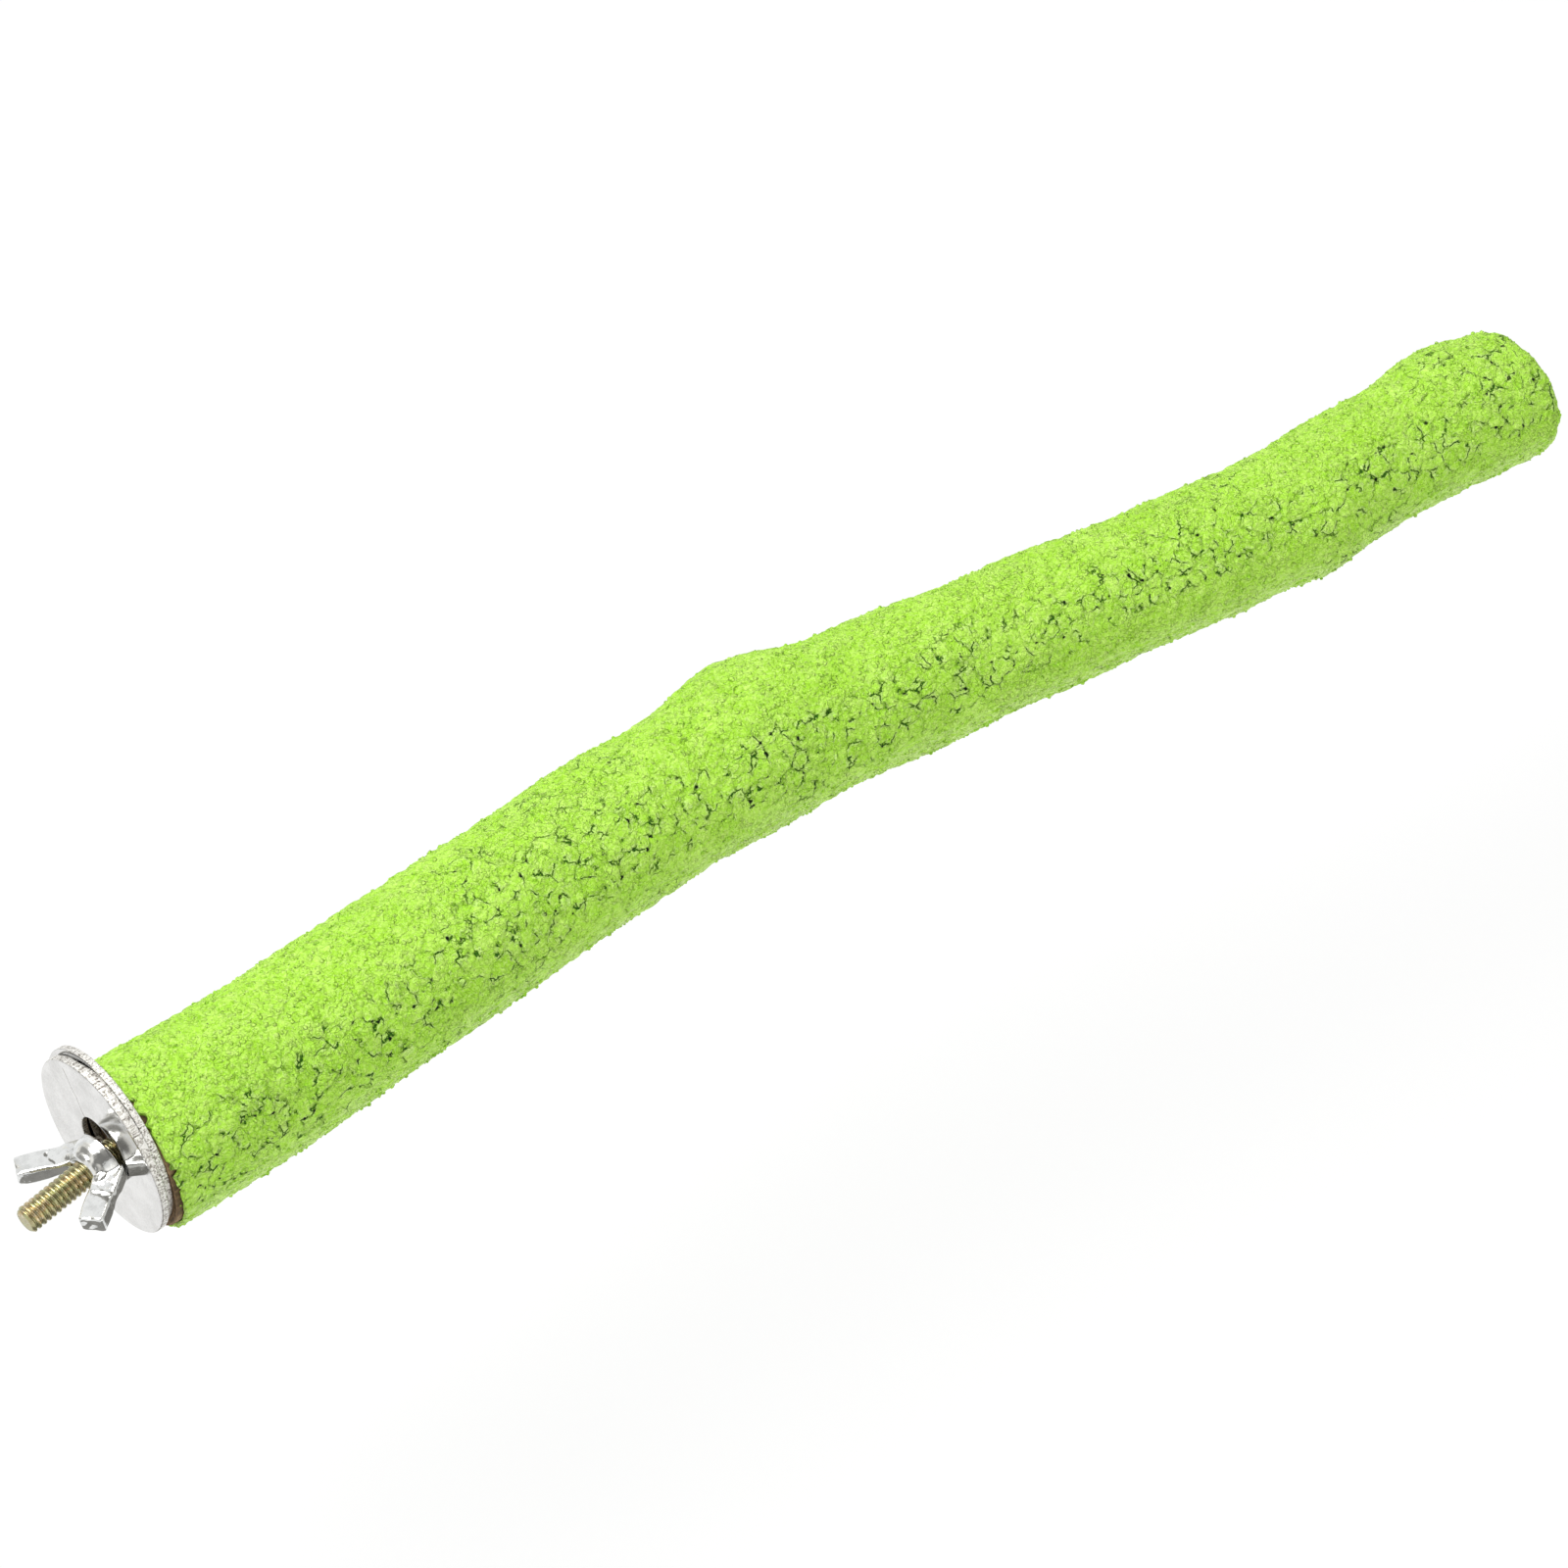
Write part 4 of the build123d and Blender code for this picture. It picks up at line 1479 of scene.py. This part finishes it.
@dataclass
class WingNut:
    """The forged wing nut: a rounded boss with two thick wings that flare out of it."""

    seat: Seat
    finish: ForgedZincFinish = field(default_factory=ForgedZincFinish)
    bore: float = 2.45
    base_radius: float = 5.1
    front_radius: float = 4.4
    height: float = 4.5
    foot: float = 0.6
    flare: float = 56.0
    tip_radius: float = 10.1
    tip_height: float = 11.0
    root_radius: float = 3.4
    root_width: float = 5.0
    tip_width: float = 4.5
    root_thickness: float = 3.0
    tip_thickness: float = 3.1
    voxel: float = 0.12
    smoothing: int = 14
    lump: float = 0.06
    boss_segments: int = 96
    wing_segments: int = 72
    wing_rows: int = 61
    wing_power: float = 0.25
    pinch_depth: float = 0.18
    pinch_place: float = 0.42
    pinch_reach: float = 0.12
    tip_start: float = 0.97
    tip_reach: float = 0.055
    knuckle_segments: int = 32
    knuckle_rows: int = 18
    knuckle_place: Span = (4.0, 3.5)
    knuckle_radii: Triple = (1.7, 2.0, 1.9)
    ends_span: Span = (10.0, 11.0)
    ends_crumple: float = 0.3
    neck_start: Span = (2.4, 3.4)
    neck_end: Span = (5.6, 6.8)
    neck_out: Span = (3.4, 4.4)
    neck_crumple: float = 0.24
    foot_height: float = 0.02

    def boss(self) -> bpy.types.Object:
        """Returns the boss with its bore, as a turned ring."""
        outline = [
            (self.bore, 0.0), (self.base_radius - 0.25, 0.0),
            (self.base_radius, 0.25), (self.base_radius, self.foot),
            (self.base_radius - 0.12, 1.6), (self.front_radius + 0.1, 2.9), (self.front_radius - 0.35, 3.8),
            (self.front_radius - 1.0, 4.35), (self.bore + 0.45, self.height), (self.bore, self.height - 0.4),
        ]
        angle = round_angles(self.boss_segments)
        return Loft(np.stack([circle(r, z, angle) for r, z in outline])).piece("boss")

    def wing(self, turn: float) -> bpy.types.Object:
        """Returns one wing, turned about the stud by the given angle in radians."""
        flare = math.radians(self.flare)
        along = np.array([math.cos(flare), 0, math.sin(flare)])
        across = np.array([-math.sin(flare), 0, math.cos(flare)])
        length = (self.tip_radius - self.root_radius) / math.cos(flare)
        tip = np.array([self.tip_radius, 0, self.tip_height])
        angle = round_angles(self.wing_segments)
        cosine, sine = np.cos(angle), np.sin(angle)
        rows = []
        for share in np.linspace(0, 1, self.wing_rows):
            width = self.root_width + (self.tip_width - self.root_width) * share
            thickness = self.root_thickness + (self.tip_thickness - self.root_thickness) * share
            pinched = math.exp(-(((share - self.pinch_place) / self.pinch_reach) ** 2))
            ease = math.sqrt(1 - (max(0.0, share - self.tip_start) / self.tip_reach) ** 2)
            u = np.sign(cosine) * np.abs(cosine) ** self.wing_power * width / 2 * ease
            v = np.sign(sine) * np.abs(sine) ** self.wing_power * thickness / 2 * ease
            v = v * (1 - self.pinch_depth * pinched)
            centre = tip - along * length * (1 - share)
            rows.append(centre + u[:, None] * across + v[:, None] * np.array([0, 1, 0]))
        poles = (Vector(rows[0].mean(axis=0)), Vector(rows[-1].mean(axis=0)))
        made = Loft(np.stack(rows), poles).piece("wing")
        made.data.transform(Matrix.Rotation(turn, 4, "Z"))
        return made

    def knuckle(self, turn: float) -> bpy.types.Object:
        """Returns the lump of metal where a wing leaves the boss."""
        out, height = self.knuckle_place
        long, wide, tall = self.knuckle_radii
        angle = round_angles(self.knuckle_segments)
        rows = []
        for tilt in np.linspace(-math.pi / 2, math.pi / 2, self.knuckle_rows)[1:-1]:
            ring = np.stack([
                out + long * math.cos(tilt) * np.cos(angle),
                wide * math.cos(tilt) * np.sin(angle),
                np.full_like(angle, height + tall * math.sin(tilt)),
            ], axis=-1)
            rows.append(ring)
        poles = (Vector((out, 0, height - tall)), Vector((out, 0, height + tall)))
        made = Loft(np.stack(rows), poles).piece("knuckle")
        made.data.transform(Matrix.Rotation(turn, 4, "Z"))
        return made

    def build(self) -> bpy.types.Object:
        """Returns the finished nut."""
        pieces = [self.boss()]
        for turn in (0.0, math.pi):
            pieces += [self.wing(turn), self.knuckle(turn)]
        piece = self.join(pieces)
        remesh = piece.modifiers.new("forge", "REMESH")
        remesh.mode = "VOXEL"
        remesh.voxel_size = self.voxel * MM
        soften = piece.modifiers.new("soften", "SMOOTH")
        soften.factor = 0.5
        soften.iterations = self.smoothing
        keep_evaluated(piece)
        self.hammer(piece.data)
        piece.data.shade_smooth()
        piece.data.materials.append(self.finish.material())
        hand_in(piece, Body.WING_NUT, "wing_nut")
        return piece

    def join(self, pieces: list[bpy.types.Object]) -> bpy.types.Object:
        """Returns one object that holds the faces of several, which are removed."""
        points, faces = [], []
        for part in pieces:
            start = len(points)
            points += [vertex.co.copy() for vertex in part.data.vertices]
            faces += [[start + i for i in face.vertices] for face in part.data.polygons]
            mesh = part.data
            bpy.data.objects.remove(part)
            bpy.data.meshes.remove(mesh)
        mesh = bpy.data.meshes.new("forged_wing_nut")
        mesh.from_pydata(points, [], faces)
        mesh.update()
        return link("forged_wing_nut", mesh)

    def hammer(self, mesh: bpy.types.Mesh) -> None:
        """Dents the forging, most on the wings' ends, keeps its foot flat and seats it on the stud."""
        points = mesh_points(mesh) / MM
        normals = mesh_normals(mesh)
        dents = 0.75 * rough(points, 0.3, 11.0) + 0.25 * rough(points, 0.9, 12.0)
        radius = np.hypot(points[:, 0], points[:, 1])
        height = points[:, 2].copy()
        ends = smooth_step(*self.ends_span, height)
        neck = smooth_step(*self.neck_start, height) * (1 - smooth_step(*self.neck_end, height))
        neck = neck * smooth_step(*self.neck_out, radius)
        outside = radius > self.bore + 0.3
        crumple = self.ends_crumple * ends + self.neck_crumple * neck
        crumple = crumple * (0.5 - 0.5 * rough(points, 0.95, 13.0))
        depth = self.lump * (0.5 - 0.5 * dents) + crumple
        points -= normals * (depth * outside)[:, None]
        points[:, 2] = np.maximum(points[:, 2], self.foot_height)
        set_points(mesh, self.seat.place(points) * MM)


@dataclass
class LooseGrit:
    """Grains of sand: some on the bare wood beside the ragged edge, and many proud of the coating."""

    form: BranchForm
    coating: GritCoating
    strip_density: float = 0.35
    strip_sizes: Span = (0.05, 0.17)
    strip_shares: Span = (0.45, 1.0)
    strip_rows: int = 5
    strip_depth: float = 0.12
    proud_density: float = 0.22
    proud_sizes: Span = (0.14, 0.46)
    seed: int = 5
    segments: int = 90
    patch_scale: float = 0.09
    patch_span: Span = (0.36, 0.62)
    patch_shares: Span = (0.85, 0.15)
    outer_relief: float = 0.95
    turn_most: Triple = (6.28, 6.28, 6.28)

    def strip(self) -> bpy.types.Object:
        """Returns the strip of bare wood that grains lie on."""
        angle = round_angles(self.segments)
        edge = self.coating.edge_place(angle)
        ones = np.ones_like(angle)
        shares = np.linspace(*self.strip_shares, self.strip_rows)
        depth = (self.form.coat + self.strip_depth) * ones
        rows = np.stack([self.form.points(edge * s, depth, angle, 0 * ones) for s in shares])
        mesh = bpy.data.meshes.new("stray_grit")
        faces = np.concatenate([Loft(rows).band(i, i + 1) for i in range(len(shares) - 1)])
        mesh.from_pydata((rows.reshape(-1, 3) * MM).tolist(), [], faces.tolist())
        set_number(mesh, "relief", np.ones(len(mesh.vertices)))
        mesh.update()
        return link("stray_grit", mesh)

    def scatter(self, density: float, sizes: Span, material: bpy.types.Material) -> GeometryRule:
        """Returns the tree that replaces a surface by grains on it.

        Args:
            density: Grains to a square millimetre where they are thickest.
            sizes: The least and the largest radius, in millimetres.
            material: The grains' material.

        Returns:
            The tree.
        """
        tree = GeometryRule("scattered_grains")
        graph = tree.graph
        thickest = tree.size("Grains to a square metre", density / MM**2)
        least = tree.size("Least grain", sizes[0] * MM)
        most = tree.size("Largest grain", sizes[1] * MM)
        place = graph.vector("MULTIPLY", graph.node("GeometryNodeInputPosition").outputs[0], TO_MM)
        patch = graph.smooth(*self.patch_span, graph.noise(place, self.patch_scale).outputs[0])
        outside = graph.math("GREATER_THAN", graph.layer("relief"), self.outer_relief)
        local = graph.product(thickest, outside, graph.math("MULTIPLY_ADD", patch, *self.patch_shares))
        inputs = {"Mesh": tree.geometry, "Density": local, "Seed": self.seed}
        scatter = graph.node("GeometryNodeDistributePointsOnFaces", inputs)
        grain = graph.node("GeometryNodeMeshIcoSphere", {"Radius": 1.0, "Subdivisions": 1})
        inputs = {2: least, 3: most, "Seed": self.seed + 1}
        radius = graph.node("FunctionNodeRandomValue", inputs, data_type="FLOAT")
        inputs = {0: (0, 0, 0), 1: self.turn_most, "Seed": self.seed + 2}
        turn = graph.node("FunctionNodeRandomValue", inputs, data_type="FLOAT_VECTOR")
        inputs = {"Points": scatter.outputs[0], "Instance": grain.outputs[0], "Scale": radius.outputs[1]}
        placed = graph.node("GeometryNodeInstanceOnPoints", inputs)
        graph.feed(placed.inputs["Rotation"], turn.outputs[0])
        tree.finish(placed.outputs[0], tree.material(material))
        return tree

    def dress(self, piece: bpy.types.Object) -> None:
        """Gives grains the layers that the coating's material reads, and keeps them in the solids' box."""
        mesh = piece.data
        set_points(mesh, np.clip(mesh_points(mesh), np.array(CAD_BOX[0]), np.array(CAD_BOX[1])))
        for name in [layer.name for layer in mesh.attributes if layer.name in ("rest", "open_side", "under")]:
            mesh.attributes.remove(mesh.attributes[name])
        layer = mesh.attributes.new("rest", "FLOAT_VECTOR", "POINT")
        layer.data.foreach_set("vector", mesh_points(mesh).astype(np.float32).ravel())
        set_number(mesh, "open_side", np.zeros(len(mesh.vertices)))
        set_number(mesh, "under", np.zeros(len(mesh.vertices)))
        mesh.shade_smooth()

    def build(self, skin: bpy.types.Object) -> None:
        """Makes the grains on the bare strip and on the finished coating."""
        material = skin.data.materials[0]
        stray = self.strip()
        proud = link("proud_grit", skin.data.copy())
        for piece, density, sizes in (
            (stray, self.strip_density, self.strip_sizes),
            (proud, self.proud_density, self.proud_sizes),
        ):
            self.scatter(density, sizes, material).run(piece)
            self.dress(piece)
            hand_in(piece, Body.PERCH)


@dataclass
class Studio:
    """A white studio: a pale floor, a softbox, a front fill, a dim white room, grey cards that paint darker
    reflections into the metal, and the camera.
    """

    camera_place: Triple = (-0.3217, -0.5671, 0.8470)
    camera_look: Triple = (0.4093, 0.5025, -0.7615)
    lens: float = 150.0
    sensor: float = 36.0
    clip_end: float = 50.0
    lamp_aim: Triple = (0.14, 0, 0)
    floor_height: float = -0.10
    floor_size: float = 14.0
    floor_colour: Colour = (0.86, 0.86, 0.86, 1)
    floor_whiteness: float = 0.86
    room_low: float = 0.78
    room_high: float = 0.66
    softbox_power: float = 14.2
    softbox_size: float = 0.8
    softbox_place: Triple = (-0.27, 0.45, 1.15)
    fill_power: float = 1.5
    fill_size: float = 0.9
    fill_place: Triple = (0.08, -0.80, 0.20)
    card_grey: float = 0.24
    card_half: float = 1.4
    card_back: float = 1.15
    card_core: float = 0.3
    card_tint: Colour = (1, 0.975, 0.92, 1)
    ground_grey: float = 0.30
    ground_fade: float = 0.2
    side_card_place: Triple = (-0.80, 0.78, 0.38)
    side_card_half: float = 0.75
    side_card_grey: float = 0.35
    ground_shade_card: tuple[Span, Span] = ((-0.045, -0.16), (0.0, -0.003))
    ground_card_height: float = -0.03

    def camera(self) -> None:
        """Sets the camera at the photograph's viewing angle."""
        data = bpy.data.cameras.new("camera")
        data.lens = self.lens
        data.sensor_width = self.sensor
        data.clip_end = self.clip_end
        made = link("camera", data)
        made.location = self.camera_place
        made.rotation_euler = Vector(self.camera_look).to_track_quat("-Z", "Y").to_euler()
        bpy.context.scene.camera = made

    @staticmethod
    def seen(graph: Graph) -> Socket:
        """Returns 1 for rays that show the background: those of the camera, of gloss and of glass."""
        path = graph.node("ShaderNodeLightPath").outputs
        shiny = graph.math("MAXIMUM", path["Is Glossy Ray"], path["Is Transmission Ray"])
        return graph.math("MAXIMUM", path["Is Camera Ray"], shiny)

    def room(self) -> None:
        """Makes the room white to look at, and a plain soft light from above."""
        world = bpy.data.worlds.new("white_room")
        graph = bare_graph(world)
        _, _, up = graph.parts(graph.node("ShaderNodeTexCoord").outputs["Generated"])
        above = graph.math("MAXIMUM", up, 0.0)
        level = graph.math("MULTIPLY_ADD", above, self.room_high - self.room_low, self.room_low)
        dim = graph.node("ShaderNodeBackground", {"Color": WHITE, "Strength": level})
        white = graph.node("ShaderNodeBackground", {"Color": WHITE, "Strength": 1.0})
        graph.node("ShaderNodeOutputWorld", {"Surface": graph.mixed(self.seen(graph), dim, white)})
        bpy.context.scene.world = world

    def floor(self) -> None:
        """Lays the pale floor, which takes the perch's soft shadow."""
        half = self.floor_size / 2
        z = self.floor_height
        made = self.sheet("floor", [(-half, -half, z), (half, -half, z), (half, half, z), (-half, half, z)])
        material = bpy.data.materials.new("pale_floor")
        graph = bare_graph(material)
        plain = graph.node("ShaderNodeBsdfDiffuse", {"Color": self.floor_colour})
        white = graph.node("ShaderNodeEmission", {"Color": WHITE, "Strength": 1.0})
        share = graph.math("MULTIPLY", self.seen(graph), self.floor_whiteness)
        graph.node("ShaderNodeOutputMaterial", {"Surface": graph.mixed(share, plain, white)})
        made.data.materials.append(material)

    @staticmethod
    def sheet(name: str, corners: list[Triple]) -> bpy.types.Object:
        """Returns a flat sheet of the stage."""
        mesh = bpy.data.meshes.new(name)
        mesh.from_pydata(corners, [], [(0, 1, 2, 3)])
        made = link(name, mesh)
        return made

    @staticmethod
    def facing_card(centre: Vector, half: float) -> list[Triple]:
        """Returns the corners of a square card that faces the clamp, from its middle and half of its side."""
        facing = -centre.normalized()
        side = facing.cross(Vector((0, 0, 1))).normalized() * half
        up = side.cross(facing).normalized() * half
        return [tuple(centre + c) for c in (-side - up, side - up, side + up, -side + up)]

    def flag(self, name: str, corners: list[Triple], grey: float, fade: float) -> None:
        """Hangs a dark card that only shows in polished metal, as a painted reflection.

        Args:
            name: The card's name.
            corners: The card's corners.
            grey: The card's level at its middle.
            fade: How far from the middle the card has faded to white.
        """
        made = self.sheet(name, corners)
        material = bpy.data.materials.new(name)
        graph = bare_graph(material)
        middle = sum((Vector(corner) for corner in corners), Vector()) / len(corners)
        place = graph.node("ShaderNodeTexCoord").outputs["Object"]
        away = graph.node("ShaderNodeVectorMath", {0: place, 1: middle}, operation="DISTANCE")
        faded = graph.smooth(fade * self.card_core, fade, away.outputs["Value"])
        level = graph.math("MULTIPLY_ADD", faded, 1.0 - grey, grey)
        shine = graph.node("ShaderNodeEmission", {"Color": self.card_tint, "Strength": level})
        graph.node("ShaderNodeOutputMaterial", {"Surface": shine.outputs[0]})
        made.data.materials.append(material)
        made.visible_camera = False
        made.visible_diffuse = False
        made.visible_shadow = False
        made.visible_transmission = False

    def lamp(self, name: str, place: Triple, size: float, power: float) -> None:
        """Hangs a square soft lamp that faces the middle of the perch."""
        data = bpy.data.lights.new(name, "AREA")
        data.energy = power
        data.shape = "SQUARE"
        data.size = size
        made = link(name, data)
        made.location = place
        aim = Vector(self.lamp_aim) - Vector(place)
        made.rotation_euler = aim.to_track_quat("-Z", "Y").to_euler()

    def build(self) -> None:
        """Sets up the whole studio."""
        bpy.context.scene.view_settings.view_transform = "Standard"
        self.camera()
        self.room()
        self.floor()
        self.lamp("softbox", self.softbox_place, self.softbox_size, self.softbox_power)
        self.lamp("front_fill", self.fill_place, self.fill_size, self.fill_power)
        camera_side = self.facing_card(Vector(self.camera_place) * self.card_back, self.card_half)
        self.flag("camera_side_card", camera_side, self.card_grey, self.card_half)
        left_side = self.facing_card(Vector(self.side_card_place), self.side_card_half)
        self.flag("left_side_card", left_side, self.side_card_grey, self.side_card_half)
        # Painted shade in reflections: the ground card stands in for the floor in shade under the clamp, seen
        # in the washers and the nut.
        (left, near), (right, far) = self.ground_shade_card
        height = self.ground_card_height
        corners = [(left, near, height), (right, near, height), (right, far, height), (left, far, height)]
        self.flag("ground_shade_card", corners, self.ground_grey, self.ground_fade)


def main() -> None:
    """Builds the perch's pieces in order, then the studio."""
    logging.basicConfig(level=logging.INFO, format="%(name)s: %(message)s")
    form = BranchForm()
    stud = StudSizes()
    coating = GritCoating(form)
    skin = coating.build()
    WoodBranch(form, stud).build()
    LooseGrit(form, coating).build(skin)
    HangerBolt(stud, form.sawn_face).build()
    plate = BrightPlateFinish().material()
    fit = ClampFit()
    rear = Washer(
        "branch_side_washer", "rear_washer", Body.REAR_WASHER, fit.rear(), plate, seed=21.0, edge_round=0.08
    )
    rear.build()
    front = Washer(
        "nut_side_washer", "front_washer", Body.FRONT_WASHER, fit.front(), plate, seed=22.0, burr=fit.burr
    )
    front.build()
    WingNut(fit.nut(stud.outward())).build()
    Studio().build()


if __name__ == "__main__":
    main()
